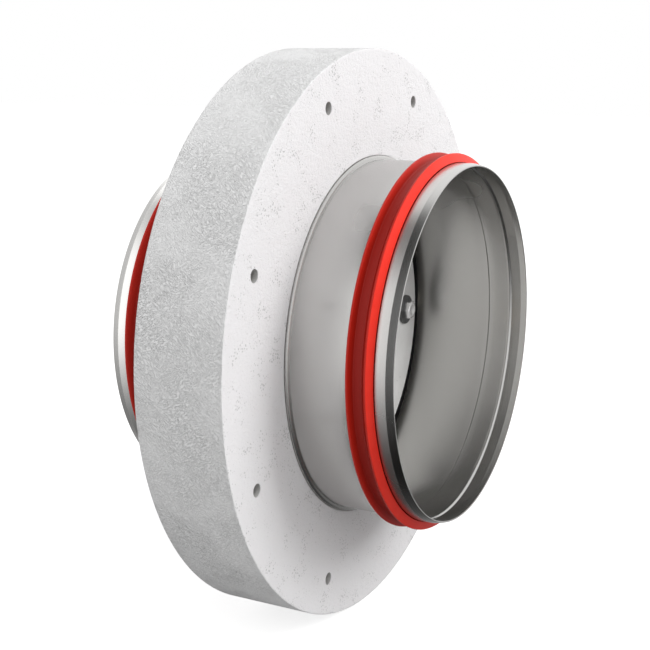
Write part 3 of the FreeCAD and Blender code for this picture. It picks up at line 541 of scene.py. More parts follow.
def hexagon_head(
    name: str,
    flats: float,
    low: float,
    high: float,
    bore: float,
    axis: Axis,
    dome: float,
    dish: float = 0.0,
) -> bpy.types.Object:
    """A hexagon head or nut whose corners are turned off by a 30 degree cone.

    Each angle's section runs from the bore or the middle of the top, over the crown, down the cone
    to the hexagon's side, down the side, and back under.

    Args:
        name: the piece's name.
        flats: the width across flats in millimetres.
        low: where the seat is along the axis.
        high: where the top is.
        bore: the hole's radius, or nought for a head.
        axis: the fastener's axis, pointing to the top.
        dome: how far the middle of the top stands above its rim.
        dish: how deep the middle of the top is pressed in, as on a cold-formed head.

    Returns:
        The new object.
    """
    turn = np.linspace(0, FULL_TURN, 96, endpoint=False)
    side = hexagon_radius(flats, turn)
    crown = HEAD_CROWN * flats
    cone = (side - crown) * math.tan(HEAD_CONE)
    dish_floor = max(bore, 0.35 * crown)
    dish_rim = max(bore, 0.62 * crown)
    shoulder = 0.9 * crown
    flat = np.full_like(side, 1.0)
    rows = [
        (bore * flat, (high - dish) * flat),
        (dish_floor * flat, (high - dish) * flat),
        (dish_rim * flat, high * flat),
        (shoulder * flat, (high - 0.3 * dome) * flat),
        (crown * flat, (high - dome) * flat),
        (side, high - dome - cone),
        (side, low + 0.1 * flat),
        (side - 0.15, low * flat),
        (bore * flat, low * flat),
    ]
    radius = np.stack([row[0] for row in rows], axis=1)
    along = np.stack([row[1] for row in rows], axis=1)
    points = axis.place(radius, along, np.broadcast_to(turn[:, None], radius.shape))
    faces = grid_faces(len(turn), len(rows), True, True)
    return mesh_object(name, points.reshape(-1, 3), faces)


def threaded_rod(
    name: str, radius: float, pitch: float, low: float, high: float, axis: Axis
) -> bpy.types.Object:
    """A rod with a screw thread. The thread's depth at a height and an angle is a triangle wave of
    the height over the pitch less the turn.

    Args:
        name: the piece's name.
        radius: the thread's outer radius in millimetres.
        pitch: the thread's pitch.
        low: where the rod starts along the axis.
        high: where it ends.
        axis: the rod's axis.

    Returns:
        The new object.
    """
    turn = np.linspace(0, FULL_TURN, 32, endpoint=False)[:, None]
    rows = max(int((high - low) / pitch * 4), 2)
    along = np.linspace(low, high, rows)[None, :]
    wave = np.abs(((along / pitch - turn / FULL_TURN) % 1) * 2 - 1)
    end = np.minimum((high - along) / pitch, 1)
    depth = 0.55 * pitch
    lead = 0.3 * pitch
    grown = radius - depth * wave - lead * (1 - end)
    along = np.broadcast_to(along, grown.shape)
    middle = np.zeros((len(turn), 1))
    radii = np.concatenate([middle, grown, middle], axis=1)
    heights = np.concatenate([middle + low, along, middle + high], axis=1)
    points = axis.place(radii, heights, np.broadcast_to(turn, radii.shape)).reshape(-1, 3)
    return mesh_object(name, points, grid_faces(len(turn), rows + 2, True, True))


# Finishes


def linear(colour: str) -> tuple:
    """Turns an sRGB hex colour into linear red, green, blue and alpha."""
    values = [int(colour[place : place + 2], 16) / 255 for place in (1, 3, 5)]
    return (*(v / 12.92 if v <= 0.04045 else ((v + 0.055) / 1.055) ** 2.4 for v in values), 1.0)


def add_node(
    tree: bpy.types.NodeTree, kind: str, inputs: dict | None = None, **settings: object
) -> bpy.types.Node:
    """Adds one node with its settings, and fills its inputs.

    Args:
        tree: the material's or world's node tree.
        kind: the node's type.
        inputs: for each input's name or number, a value, another node's output, or another node,
            which stands for the first of its outputs in use.
        settings: the node's own properties.

    Returns:
        The new node.
    """
    node = tree.nodes.new(kind)
    for name, setting in settings.items():
        setattr(node, name, setting)
    for name, given in (inputs or {}).items():
        if isinstance(given, bpy.types.Node):
            given = next(output for output in given.outputs if output.enabled)
        if isinstance(given, bpy.types.NodeSocket):
            tree.links.new(given, node.inputs[name])
        else:
            node.inputs[name].default_value = given
    return node


def write_stops(ramp: bpy.types.Node, stops: list) -> None:
    """Writes a colour ramp's stops.

    Args:
        ramp: the colour ramp's node.
        stops: pairs of a place from 0 to 1 and a hex colour, in order.
    """
    points = ramp.color_ramp.elements
    points[0].position, points[0].color = stops[0][0], linear(stops[0][1])
    points[1].position, points[1].color = stops[-1][0], linear(stops[-1][1])
    for place, colour in stops[1:-1]:
        points.new(place).color = linear(colour)


def scale_of(size: float) -> float:
    """The scale at which a pattern repeats once in a size in millimetres."""
    return 1 / (size * MM)


@dataclass(frozen=True)
class Finish:
    """What every finish has: a name, a colour, how rough it is, and how metallic."""

    name: str
    colour: str
    roughness: float
    metallic: float = 0.0
    ior: float = 1.5

    def material(self) -> bpy.types.Material:
        """Builds the material.

        Returns:
            The new material, with the finish's own pattern.
        """
        material = bpy.data.materials.new(self.name)
        material.use_nodes = True
        tree = material.node_tree
        tree.nodes.clear()
        shader = add_node(
            tree,
            "ShaderNodeBsdfPrincipled",
            {
                "Base Color": linear(self.colour),
                "Roughness": self.roughness,
                "Metallic": self.metallic,
                "IOR": self.ior,
            },
        )
        add_node(tree, "ShaderNodeOutputMaterial", {"Surface": shader})
        self.detail(tree, shader)
        return material

    def detail(self, tree: bpy.types.NodeTree, shader: bpy.types.Node) -> None:
        """Adds the finish's own pattern to the shader."""

    def place(
        self, tree: bpy.types.NodeTree, scale: tuple = (1.0, 1.0, 1.0)
    ) -> bpy.types.NodeSocket:
        """The place on the piece, stretched by a scale along each axis.

        Args:
            tree: the material's node tree.
            scale: how much each axis is stretched.

        Returns:
            The socket that gives the place.
        """
        place = add_node(tree, "ShaderNodeTexCoord").outputs["Object"]
        mapping = add_node(tree, "ShaderNodeMapping", {"Vector": place, "Scale": scale})
        return mapping.outputs["Vector"]

    def blotches(
        self,
        tree: bpy.types.NodeTree,
        place: bpy.types.NodeSocket,
        size: float,
        steps: tuple,
        **inputs: float,
    ) -> bpy.types.Node:
        """Soft-edged blotches: noise that goes smoothly from 0 to 1 between two of its levels.

        Args:
            tree: the material's node tree.
            place: the socket that gives the place.
            size: the size of a blotch, in millimetres.
            steps: the level where a blotch starts, and the one where it is full.
            inputs: other inputs of the noise.

        Returns:
            The node that gives the blotches.
        """
        values = {"Vector": place, "Scale": scale_of(size), **inputs}
        noise = add_node(tree, "ShaderNodeTexNoise", values)
        return add_node(
            tree,
            "ShaderNodeMapRange",
            {"Value": noise, "From Min": steps[0], "From Max": steps[1]},
            interpolation_type="SMOOTHSTEP",
        )

    def relief(
        self, tree: bpy.types.NodeTree, shader: bpy.types.Node, *layers: tuple
    ) -> None:
        """Raises the surface by several heights, one over another.

        Args:
            tree: the material's node tree.
            shader: the shader whose normal they bend.
            layers: for each height its node, its depth in millimetres and its strength.
        """
        below = {}
        for height, depth, strength in layers:
            values = {"Height": height, "Distance": depth * MM, "Strength": strength}
            below = {"Normal": add_node(tree, "ShaderNodeBump", {**values, **below})}
        tree.links.new(below["Normal"].outputs["Normal"], shader.inputs["Normal"])


@dataclass(frozen=True)
class TrowelledPlaster(Finish):
    """A thin plaster coat, drawn over the rim with a trowel: matt white, with short slanting
    wrinkles in patches and smooth places between them. Its colour has painted shade in the low
    folds and grain, and painted light on the raised crests.

    The real grain is too fine to show in the render, so it's drawn at 0.7 mm.
    """

    wrinkle_mm: float = 0.75
    wrinkle_depth_mm: float = 0.36
    fold_steps: tuple = (0.4, 0.57)
    side_mm: float = 16.8
    side_steps: tuple = (0.45, 0.55)
    patch_mm: float = 42.0
    patch_steps: tuple = (0.38, 0.55)
    least_wrinkle: float = 0.6
    smooth_level: float = 0.5
    grain_mm: float = 0.7
    grain_depth_mm: float = 0.17
    grain_strength: float = 0.9
    speck_steps: tuple = (0.35, 0.6)
    speck_share: float = 0.4
    middle_level: float = 0.45
    # painted shade for the low folds and grain; high below is the painted light on the raised crests
    fold_painted_shade: str = "#dddddd"
    high: str = "#eeeeee"

    def detail(self, tree: bpy.types.NodeTree, shader: bpy.types.Node) -> None:
        """Wrinkles along two slants, faded in and out by patches, over a fine grain, with painted
        shade in the low places and painted light on the raised ones.

        Args:
            tree: the material's node tree.
            shader: the material's shader.
        """
        folds = []
        for name in ("slant_left", "slant_right"):
            slanted = add_node(tree, "ShaderNodeAttribute", attribute_name=name).outputs["Vector"]
            fold = self.blotches(
                tree, slanted, self.wrinkle_mm, self.fold_steps, Roughness=0.7, Distortion=0.5
            )
            folds.append(fold)
        place = self.place(tree)
        side = self.blotches(tree, place, self.side_mm, self.side_steps, Detail=1.0)
        wrinkles = add_node(
            tree, "ShaderNodeMix", {"Factor": side, "A": folds[0], "B": folds[1]}, data_type="FLOAT"
        )
        patch = self.blotches(tree, place, self.patch_mm, self.patch_steps)
        strength = add_node(
            tree,
            "ShaderNodeMix",
            {"Factor": patch, "A": self.least_wrinkle, "B": 1.0},
            data_type="FLOAT",
        )
        raised = add_node(
            tree,
            "ShaderNodeMix",
            {"Factor": strength, "A": self.smooth_level, "B": wrinkles},
            data_type="FLOAT",
        )
        grain = add_node(
            tree,
            "ShaderNodeTexNoise",
            {"Vector": place, "Scale": scale_of(self.grain_mm), "Roughness": 0.6},
        )
        self.relief(
            tree,
            shader,
            (raised, self.wrinkle_depth_mm, 1.0),
            (grain, self.grain_depth_mm, self.grain_strength),
        )
        # Painted shade and light: the colour follows the relief, darker in the low folds and grain and
        # lighter on the raised crests.
        specks = add_node(
            tree,
            "ShaderNodeMapRange",
            {"Value": grain, "From Min": self.speck_steps[0], "From Max": self.speck_steps[1]},
            interpolation_type="SMOOTHSTEP",
        )
        painted_relief_shading = add_node(
            tree,
            "ShaderNodeMix",
            {"Factor": self.speck_share, "A": raised, "B": specks},
            data_type="FLOAT",
        )
        colour = add_node(tree, "ShaderNodeValToRGB", {"Fac": painted_relief_shading})
        write_stops(
            colour, [(0.0, self.fold_painted_shade), (self.middle_level, self.colour), (1.0, self.high)]
        )
        tree.links.new(colour.outputs["Color"], shader.inputs["Base Color"])


@dataclass(frozen=True)
class FloatedPlaster(Finish):
    """The same plaster floated flat on the faces: smooth white, with clusters of pores and a few
    faint trowel marks. Inside the drilled holes a darker grey is painted as the shade deep in them.

    Its grain, too, is drawn at 0.7 mm so that it shows.
    """

    pore_mm: float = 1.5
    pore_reach: float = 0.42
    pore_edge: float = 0.14
    pore_depth_mm: float = 0.16
    cluster_mm: float = 13.0
    cluster_steps: tuple = (0.35, 0.7)
    mark_mm: float = 2.2
    mark_depth_mm: float = 0.45
    grain_mm: float = 0.7
    grain_depth_mm: float = 0.3
    strength: float = 0.9
    # painted shade in the sunk pores
    pore_painted_shade: str = "#c2c2c2"
    # painted shade for the walls of the drilled holes
    hole_painted_shade: str = "#b8b7b5"
    hole_shade_full_mm: float = 24.4
    hole_shade_end_mm: float = 24.7

    def detail(self, tree: bpy.types.NodeTree, shader: bpy.types.Node) -> None:
        """Scattered pores that are sunk and painted a little darker as shade, over soft marks.

        A pore is the middle of a cell, out to a reach that its cluster gives it.

        Args:
            tree: the material's node tree.
            shader: the material's shader.
        """
        place = self.place(tree)
        cluster = self.blotches(tree, place, self.cluster_mm, self.cluster_steps)
        cells = add_node(
            tree, "ShaderNodeTexVoronoi", {"Vector": place, "Scale": scale_of(self.pore_mm)}
        )
        limit = add_node(
            tree, "ShaderNodeMath", {0: cluster, 1: self.pore_reach}, operation="MULTIPLY"
        )
        depth = add_node(
            tree,
            "ShaderNodeMath",
            {0: limit, 1: cells.outputs["Distance"]},
            operation="SUBTRACT",
        )
        pore = add_node(
            tree,
            "ShaderNodeMapRange",
            {"Value": depth, "From Min": 0.0, "From Max": self.pore_edge},
            interpolation_type="SMOOTHSTEP",
        )
        # Painted shade: the pores are painted darker than the coat.
        coat = add_node(
            tree,
            "ShaderNodeMix",
            {"Factor": pore, "A": linear(self.colour), "B": linear(self.pore_painted_shade)},
            data_type="RGBA",
        )
        axes = add_node(tree, "ShaderNodeSeparateXYZ", {"Vector": place})
        along = add_node(tree, "ShaderNodeMath", {0: axes.outputs["Y"]}, operation="ABSOLUTE")
        # Painted shade: deeper than the face, the hole walls take a darker grey for the shade inside
        # the holes.
        outside_hole_shade = add_node(
            tree,
            "ShaderNodeMapRange",
            {"Value": along, "From Min": self.hole_shade_full_mm * MM, "From Max": self.hole_shade_end_mm * MM},
            interpolation_type="SMOOTHSTEP",
        )
        colour = add_node(
            tree,
            "ShaderNodeMix",
            {"Factor": outside_hole_shade, "A": linear(self.hole_painted_shade), "B": coat},
            data_type="RGBA",
        )
        tree.links.new(colour.outputs["Result"], shader.inputs["Base Color"])
        marks = add_node(
            tree,
            "ShaderNodeTexNoise",
            {
                "Vector": place,
                "Scale": scale_of(self.mark_mm),
                "Detail": 3.0,
                "Roughness": 0.6,
                "Distortion": 0.4,
            },
        )
        grain = add_node(
            tree, "ShaderNodeTexNoise", {"Vector": place, "Scale": scale_of(self.grain_mm)}
        )
        self.relief(
            tree,
            shader,
            (marks, self.mark_depth_mm, self.strength),
            (grain, self.grain_depth_mm, self.strength),
            (pore, -self.pore_depth_mm, self.strength),
        )


@dataclass(frozen=True)
class RolledSheet(Finish):
    """Galvanised sheet rolled into a tube: satin metal with faint clouds in the zinc."""

    cloud_mm: float = 60.0
    cloud_ends: tuple = (0.1, 0.9)
    roughness_swing: float = 0.015
    light: str = "#cac9c7"
    dark: str = "#c5c4c2"

    def detail(self, tree: bpy.types.NodeTree, shader: bpy.types.Node) -> None:
        """Clouds in the colour and the roughness.

        Args:
            tree: the material's node tree.
            shader: the material's shader.
        """
        clouds = add_node(
            tree,
            "ShaderNodeTexNoise",
            {"Vector": self.place(tree), "Scale": scale_of(self.cloud_mm), "Detail": 1.0},
        )
        colour = add_node(tree, "ShaderNodeValToRGB", {"Fac": clouds})
        write_stops(colour, list(zip(self.cloud_ends, (self.dark, self.light))))
        tree.links.new(colour.outputs["Color"], shader.inputs["Base Color"])
        rough = add_node(
            tree,
            "ShaderNodeMapRange",
            {
                "Value": clouds,
                "To Min": self.roughness + self.roughness_swing,
                "To Max": self.roughness - self.roughness_swing,
            },
        )
        tree.links.new(rough.outputs["Result"], shader.inputs["Roughness"])


@dataclass(frozen=True)
class MouldedRubber(Finish):
    """Extruded or moulded rubber: satin, with a fine mould grain and a faint bloom.

    The real grain is too fine to show in the render, so it's drawn at 0.7 mm.
    """

    grain_mm: float = 0.7
    grain_depth_mm: float = 0.02
    bloom_mm: float = 9.0
    bloom_ends: tuple = (0.35, 0.75)
    sheen: float = 0.3
    bloom: str = "#d8402f"

    def detail(self, tree: bpy.types.NodeTree, shader: bpy.types.Node) -> None:
        """A fine grain in the relief, and bloom in soft patches.

        Args:
            tree: the material's node tree.
            shader: the material's shader.
        """
        shader.inputs["Specular IOR Level"].default_value = self.sheen
        place = self.place(tree)
        patches = add_node(
            tree,
            "ShaderNodeTexNoise",
            {"Vector": place, "Scale": scale_of(self.bloom_mm), "Detail": 3.0},
        )
        bloom = add_node(tree, "ShaderNodeValToRGB", {"Fac": patches})
        write_stops(bloom, list(zip(self.bloom_ends, (self.colour, self.bloom))))
        # Any painted shade goes over the colour here; plain rubber has none.
        with_painted_shade = self.add_painted_shade(tree, bloom.outputs["Color"])
        tree.links.new(with_painted_shade, shader.inputs["Base Color"])
        grain = add_node(
            tree, "ShaderNodeTexNoise", {"Vector": place, "Scale": scale_of(self.grain_mm)}
        )
        self.relief(tree, shader, (grain, self.grain_depth_mm, 1.0))

    def add_painted_shade(self, tree: bpy.types.NodeTree, colour: bpy.types.NodeSocket) -> bpy.types.NodeSocket:
        """The painted shade over the rubber's own colour: none on plain rubber."""
        return colour


@dataclass(frozen=True)
class LipRubber(MouldedRubber):
    """The lip seal's rubber, with painted shade: its own red on the front lip's slope, painted
    darker down in the groove behind it, where the front lip shades it, with the painted shade
    easing a little towards the lips' tips."""

    # painted shade for the groove between the lips
    groove_painted_shade: str = "#94160a"
    groove_radius: float = 100.9
    lip_radius: float = 104.2
    crest_mm: float = 71.0
    front_mm: float = 71.8
    crest_share: float = 0.35

    def add_painted_shade(self, tree: bpy.types.NodeTree, colour: bpy.types.NodeSocket) -> bpy.types.NodeSocket:
        """Paints shade on the rubber behind the front crest, darkest where it's nearest the duct's
        axis.

        Args:
            tree: the material's node tree.
            colour: the socket that gives the rubber's own colour.

        Returns:
            The socket that gives the darkened colour.
        """
        level = self.place(tree, (1.0, 0.0, 1.0))
        radius = add_node(tree, "ShaderNodeVectorMath", {0: level}, operation="LENGTH")
        axes = add_node(tree, "ShaderNodeSeparateXYZ", {"Vector": self.place(tree)})
        along = add_node(tree, "ShaderNodeMath", {0: axes.outputs["Y"]}, operation="ABSOLUTE")
        outwards, ahead = (
            add_node(
                tree,
                "ShaderNodeMapRange",
                {
                    "Value": distance.outputs["Value"],
                    "From Min": low * MM,
                    "From Max": high * MM,
                    "To Max": most,
                },
            )
            for distance, low, high, most in (
                (radius, self.groove_radius, self.lip_radius, self.crest_share),
                (along, self.crest_mm, self.front_mm, 1.0),
            )
        )
        share = add_node(tree, "ShaderNodeMath", {0: outwards, 1: ahead}, operation="MAXIMUM")
        # Painted shade: behind the front crest the rubber takes the darker groove colour.
        groove_shaded_colour = add_node(
            tree,
            "ShaderNodeMix",
            {"Factor": share, "A": linear(self.groove_painted_shade), "B": colour},
            data_type="RGBA",
        )
        return groove_shaded_colour.outputs["Result"]


@dataclass(frozen=True)
class PressedBoard(Finish):
    """Calcium silicate board, sanded: pale grey, matt, with fibre specks and fine grit.

    The real grit is too fine to show in the render, so it's drawn at 0.8 mm.
    """

    speck_mm: float = 3.0
    speck_reach: float = 0.22
    spread_mm: float = 7.0
    spread_levels: tuple = (0.5, 0.8)
    cloud_mm: float = 16.0
    cloud_ends: tuple = (0.3, 0.7)
    grit_mm: float = 0.8
    grit_depth_mm: float = 0.08
    speck_colour: str = "#7d7d7b"
    cloud: str = "#b3b5b3"

    def detail(self, tree: bpy.types.NodeTree, shader: bpy.types.Node) -> None:
        """Cloudy colour, a few specks, and sanding grit in the relief.

        Args:
            tree: the material's node tree.
            shader: the material's shader.
        """
        place = self.place(tree)
        clouds = add_node(
            tree,
            "ShaderNodeTexNoise",
            {"Vector": place, "Scale": scale_of(self.cloud_mm), "Detail": 4.0},
        )
        cloudy = add_node(tree, "ShaderNodeValToRGB", {"Fac": clouds})
        write_stops(cloudy, list(zip(self.cloud_ends, (self.cloud, self.colour))))
        cells = add_node(
            tree, "ShaderNodeTexVoronoi", {"Vector": place, "Scale": scale_of(self.speck_mm)}
        )
        spread = add_node(
            tree,
            "ShaderNodeTexNoise",
            {"Vector": place, "Scale": scale_of(self.spread_mm), "Detail": 1.0},
        )
        limit = add_node(
            tree,
            "ShaderNodeMapRange",
            {
                "Value": spread,
                "From Min": self.spread_levels[0],
                "From Max": self.spread_levels[1],
                "To Max": self.speck_reach,
            },
        )
        speck = add_node(
            tree,
            "ShaderNodeMath",
            {0: cells.outputs["Distance"], 1: limit},
            operation="LESS_THAN",
        )
        colour = add_node(
            tree,
            "ShaderNodeMix",
            {"Factor": speck, "A": cloudy, "B": linear(self.speck_colour)},
            data_type="RGBA",
        )
        tree.links.new(colour.outputs["Result"], shader.inputs["Base Color"])
        grit = add_node(
            tree,
            "ShaderNodeTexNoise",
            {"Vector": place, "Scale": scale_of(self.grit_mm), "Detail": 3.0, "Roughness": 0.6},
        )
        self.relief(tree, shader, (grit, self.grit_depth_mm, 1.0))


@dataclass(frozen=True)
class PlatedMetal(Finish):
    """Small metal parts, plated, rolled or drawn: bright metal with faint cloudy wear.

    The real rolling grain is too fine to show in the render, so it's drawn at 0.5 mm.
    """

    worn: str = "#8d8d8d"
    cloud_mm: float = 4.0
    cloud_ends: tuple = (0.3, 0.65)
    grain_mm: float = 0.5
    grain_depth_mm: float = 0.01
    worn_rougher: float = 0.1
    bright_smoother: float = 0.06

    def detail(self, tree: bpy.types.NodeTree, shader: bpy.types.Node) -> None:
        """Clouds in the colour and the roughness, and a fine relief.

        Args:
            tree: the material's node tree.
            shader: the material's shader.
        """
        place = self.place(tree)
        clouds = add_node(
            tree,
            "ShaderNodeTexNoise",
            {"Vector": place, "Scale": scale_of(self.cloud_mm), "Detail": 4.0, "Roughness": 0.65},
        )
        colour = add_node(tree, "ShaderNodeValToRGB", {"Fac": clouds})
        write_stops(colour, list(zip(self.cloud_ends, (self.worn, self.colour))))
        tree.links.new(colour.outputs["Color"], shader.inputs["Base Color"])
        rough = add_node(
            tree,
            "ShaderNodeMapRange",
            {
                "Value": clouds,
                "To Min": self.roughness + self.worn_rougher,
                "To Max": self.roughness - self.bright_smoother,
            },
        )
        tree.links.new(rough.outputs["Result"], shader.inputs["Roughness"])
        grain = add_node(
            tree, "ShaderNodeTexNoise", {"Vector": place, "Scale": scale_of(self.grain_mm)}
        )
        self.relief(tree, shader, (grain, self.grain_depth_mm, 1.0))


FINISHES = {
    # Lime-bound plaster scatters all light evenly, so it's matt and nearly white.
    "rim": TrowelledPlaster("trowelled_plaster", "#e9e9e9", 0.9),
    # The float closes the surface, so it's as white and a little smoother.
    "face": FloatedPlaster("floated_plaster", "#e0dfe0", 0.85),
    # Zinc on rolled steel reflects softly, in a band along the tube.
    "sheet": RolledSheet("galvanised_sheet", "#cccbc8", 0.27, 1.0),
    # Red EPDM, extruded, has a soft sheen on its lips, and painted shade in the groove between them.
    "red_rubber": LipRubber("red_epdm", "#e32a1a", 0.45, bloom="#e6301f"),
    # Black EPDM, moulded flat, shows as a soft dark grey where light grazes it.
    "black_rubber": MouldedRubber("black_epdm", "#151515", 0.5, bloom="#1f1f1f"),
    # Expandable graphite in a binder is dull black.
    "graphite": MouldedRubber("intumescent_graphite", "#0b0b0b", 0.75, bloom="#161616"),
    # Pressed and sanded calcium silicate is chalky, so it's pale and quite matt.
    "board": PressedBoard("calcium_silicate_board", "#dcdbd9", 0.9, cloud="#d2d1cf"),
    # Bright zinc plate on a cold-formed head gives small sharp highlights on its facets.
    "zinc": PlatedMetal("bright_zinc_plate", "#f4f4f4", 0.17, 0.9, worn="#e0e0e0"),
    # Zinc on a stamped washer, rougher than the heads, with only a soft glint; its darker grey is
    # painted shade for the shadow under the heads and nuts.
    "zinc_dull_painted_shade": PlatedMetal("zinc_plate_dull_painted_shade", "#747474", 0.42, 1.0, worn="#5b5b5b"),
    # Galvanised strip, bent cold, is satin with broad clouds.
    "bracket": PlatedMetal("galvanised_strip", "#b9babb", 0.34, 1.0, worn="#9a9b9c", cloud_mm=9.0),
    # Drawn and tempered spring steel is smooth, with a thin bright line along the wire.
    "spring": PlatedMetal("spring_steel", "#a9abae", 0.24, 1.0, worn="#85878a"),
    # Rolled brass is warm yellow, and dulls to brown in patches.
    "brass": PlatedMetal("rolled_brass", "#c9a65a", 0.3, 1.0, worn="#a3823f"),
    # Sintered bronze is pressed from powder, so it's brown and never bright.
    "bronze": PlatedMetal("sintered_bronze", "#a37b4c", 0.45, 1.0, worn="#82603a"),
    # Turned natural nylon is milky and softly shiny.
    "nylon": PressedBoard(
        "natural_nylon", "#e6e3d8", 0.5, cloud="#dedbcf", speck_colour="#d5d2c6"
    ),
}


class Workshop:
    """Builds each finish once, and dresses and mounts the pieces."""

    def __init__(self) -> None:
        """Starts with no material made."""
        self.materials: dict = {}
        self.placed = 0

    def material(self, finish: str) -> bpy.types.Material:
        """The material of a finish, made when it's first asked for.

        Args:
            finish: the finish's name.

        Returns:
            The material.
        """
        if finish not in self.materials:
            self.materials[finish] = FINISHES[finish].material()
        return self.materials[finish]

    def dress(self, piece: bpy.types.Object, *finishes: str) -> None:
        """Gives a piece its finishes, one for each material slot, and keeps its faces' slots.

        Args:
            piece: the object to dress.
            finishes: the names of its finishes.
        """
        faces = piece.data.polygons
        slots = np.empty(len(faces), np.int32)
        faces.foreach_get("material_index", slots)
        piece.data.materials.clear()
        for finish in finishes:
            piece.data.materials.append(self.material(finish))
        faces.foreach_set("material_index", np.minimum(slots, len(finishes) - 1).astype(np.int32))

    def mount(
        self, piece: bpy.types.Object, body: str, slot: str, nodes: tuple, *finishes: str
    ) -> None:
        """Dresses a piece, puts it on a body and lets it stand for CAD nodes.

        Args:
            piece: the finished object.
            body: the body that it moves with.
            slot: the record's material slot; not used.
            nodes: the CAD nodes that it stands for.
            finishes: its finishes, one for each material slot.
        """
        self.dress(piece, *finishes)
        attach(piece, body)
        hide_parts(*nodes)
        self.placed += 1
        LOG.info("%s rides on %s", piece.name, body)


# Sub-assemblies. All their sizes are in millimetres, and the angles run from +X towards +Z.


@dataclass
class RefractoryRing:
    """The plastered ring, in two boards with the fixing holes through both."""

    radius: float = 160.0
    thick: float = 25.0
    bore: float = 99.4
    edge: float = 0.5
    step_radius: float = 101.8
    step_depth: float = 0.5
    hole_circle: float = 140.0
    hole_radius: float = 3.5
    hole_count: int = 8
    relief: float = 0.05
    wave_seed: int = 11
    wave_count: int = 48
    wave_lengths: tuple = (4.0, 11.0)
    wave_gain: float = 4.0
    smooth_step: float = 1.0
    smooth_seam: float = 0.2
    segments: int = 840
    spacing: float = 1.2
    slant: float = math.radians(34)
    slant_shares: tuple = (("slant_left", 1), ("slant_right", -0.6))
    slant_squeeze: float = 0.45

    def board(self, facing: Facing) -> bpy.types.Object:
        """Turns one board's outline about the duct's axis, with fine steps on the rim and face.

        Args:
            facing: which face of the ring it's on.

        Returns:
            The drilled board.
        """
        floor = self.thick - self.step_depth
        corners = [
            (self.bore, 0),
            (self.radius, 0),
            (self.radius, self.thick),
            (self.step_radius, self.thick),
            (self.step_radius, floor),
            (self.bore, floor),
        ]
        outline = rounded(corners, (0.01, 0.01, self.edge, 0.1, 0.05, 0.05), 4)
        outline = refined(outline, self.spacing)
        inside = (outline[:, 1] < 0.02) & (outline[:, 0] < self.radius - 0.02)
        inside &= outline[:, 0] > self.bore + 0.02
        outline = outline[~inside] * (1, -facing.value)
        board = turned(f"ring_board_{facing.name.lower()}_coat", outline, segments=self.segments)
        turn = (np.arange(self.hole_count) + 0.5) * FULL_TURN / self.hole_count
        middle = np.full(self.hole_count, facing.value * self.thick / 2)
        centres = np.stack(
            [self.hole_circle * np.cos(turn), middle, self.hole_circle * np.sin(turn)], axis=1
        )
        drilled(board, centres, self.hole_radius, DUCT_AXIS, self.thick)
        self.roughen(board)
        self.mark_rim(board)
        self.write_slants(board)
        return board

    def roughen(self, board: bpy.types.Object) -> None:
        """Sinks the coat by a low, smooth relief: sums of waves of the place, along its normal.

        Args:
            board: the ring's board.
        """
        mesh = board.data
        place = read_vectors(mesh.vertices, "co")
        normal = read_vectors(mesh.vertices, "normal")
        rng = np.random.default_rng(self.wave_seed)
        waves = rng.normal(0, 1, (self.wave_count, 3))
        waves /= np.linalg.norm(waves, axis=1)[:, None]
        length = rng.uniform(*self.wave_lengths, self.wave_count) * MM
        phase = rng.uniform(0, FULL_TURN, self.wave_count)
        height = np.sin(place @ (waves / length[:, None]).T * FULL_TURN + phase).mean(axis=1)
        radius = np.hypot(place[:, 0], place[:, 2]) / MM
        shown = radius > self.step_radius + self.smooth_step
        shown &= np.abs(place[:, 1]) > self.smooth_seam * MM
        sunk = self.relief * MM * (0.5 + 0.5 * np.clip(height * self.wave_gain, -1, 1))
        place -= normal * (sunk * shown)[:, None]
        mesh.vertices.foreach_set("co", place.astype(np.float32).ravel())
        mesh.update()

    def mark_rim(self, board: bpy.types.Object) -> None:
        """Gives the rim's faces the first material slot and all others the second.

        Args:
            board: the ring's board.
        """
        mesh = board.data
        centre = read_vectors(mesh.polygons, "center")
        radius = np.hypot(centre[:, 0], centre[:, 2]) / MM
        face = (radius < self.radius - 0.6 * self.edge).astype(np.int32)
        mesh.polygons.foreach_set("material_index", face)

    def write_slants(self, board: bpy.types.Object) -> None:
        """Writes two places for each point, each turned about the axis as it goes along it.

        A pattern that is squeezed along such a place's axis lies at a slant on the rim.

        Args:
            board: the ring's board.
        """
        mesh = board.data
        place = read_vectors(mesh.vertices, "co")
        radius = np.hypot(place[:, 0], place[:, 2])
        angle = np.arctan2(place[:, 2], place[:, 0])
        for name, share in self.slant_shares:
            turn = angle + share * math.tan(self.slant) * place[:, 1] / (self.radius * MM)
            along = place[:, 1] * self.slant_squeeze
            slanted = np.stack([radius * np.cos(turn), along, radius * np.sin(turn)], axis=1)
            attribute = mesh.attributes.new(name, "FLOAT_VECTOR", "POINT")
            attribute.data.foreach_set("vector", slanted.astype(np.float32).ravel())

    def build(self, shop: Workshop) -> None:
        """Makes both boards.

        Args:
            shop: what dresses and mounts the pieces.
        """
        for facing in Facing:
            node = f"ring_board_{facing.name.lower()}"
            shop.mount(self.board(facing), "casing", "ring_board", (node,), "rim", "face")


def read_vectors(items: bpy.types.bpy_prop_collection, name: str) -> np.ndarray:
    """One vector of each of a mesh's items.

    Args:
        items: the mesh's points or faces.
        name: the vector's name.

    Returns:
        An array of n by 3.
    """
    values = np.empty(len(items) * 3, np.float32)
    items.foreach_get(name, values)
    return values.reshape(-1, 3).astype(float)


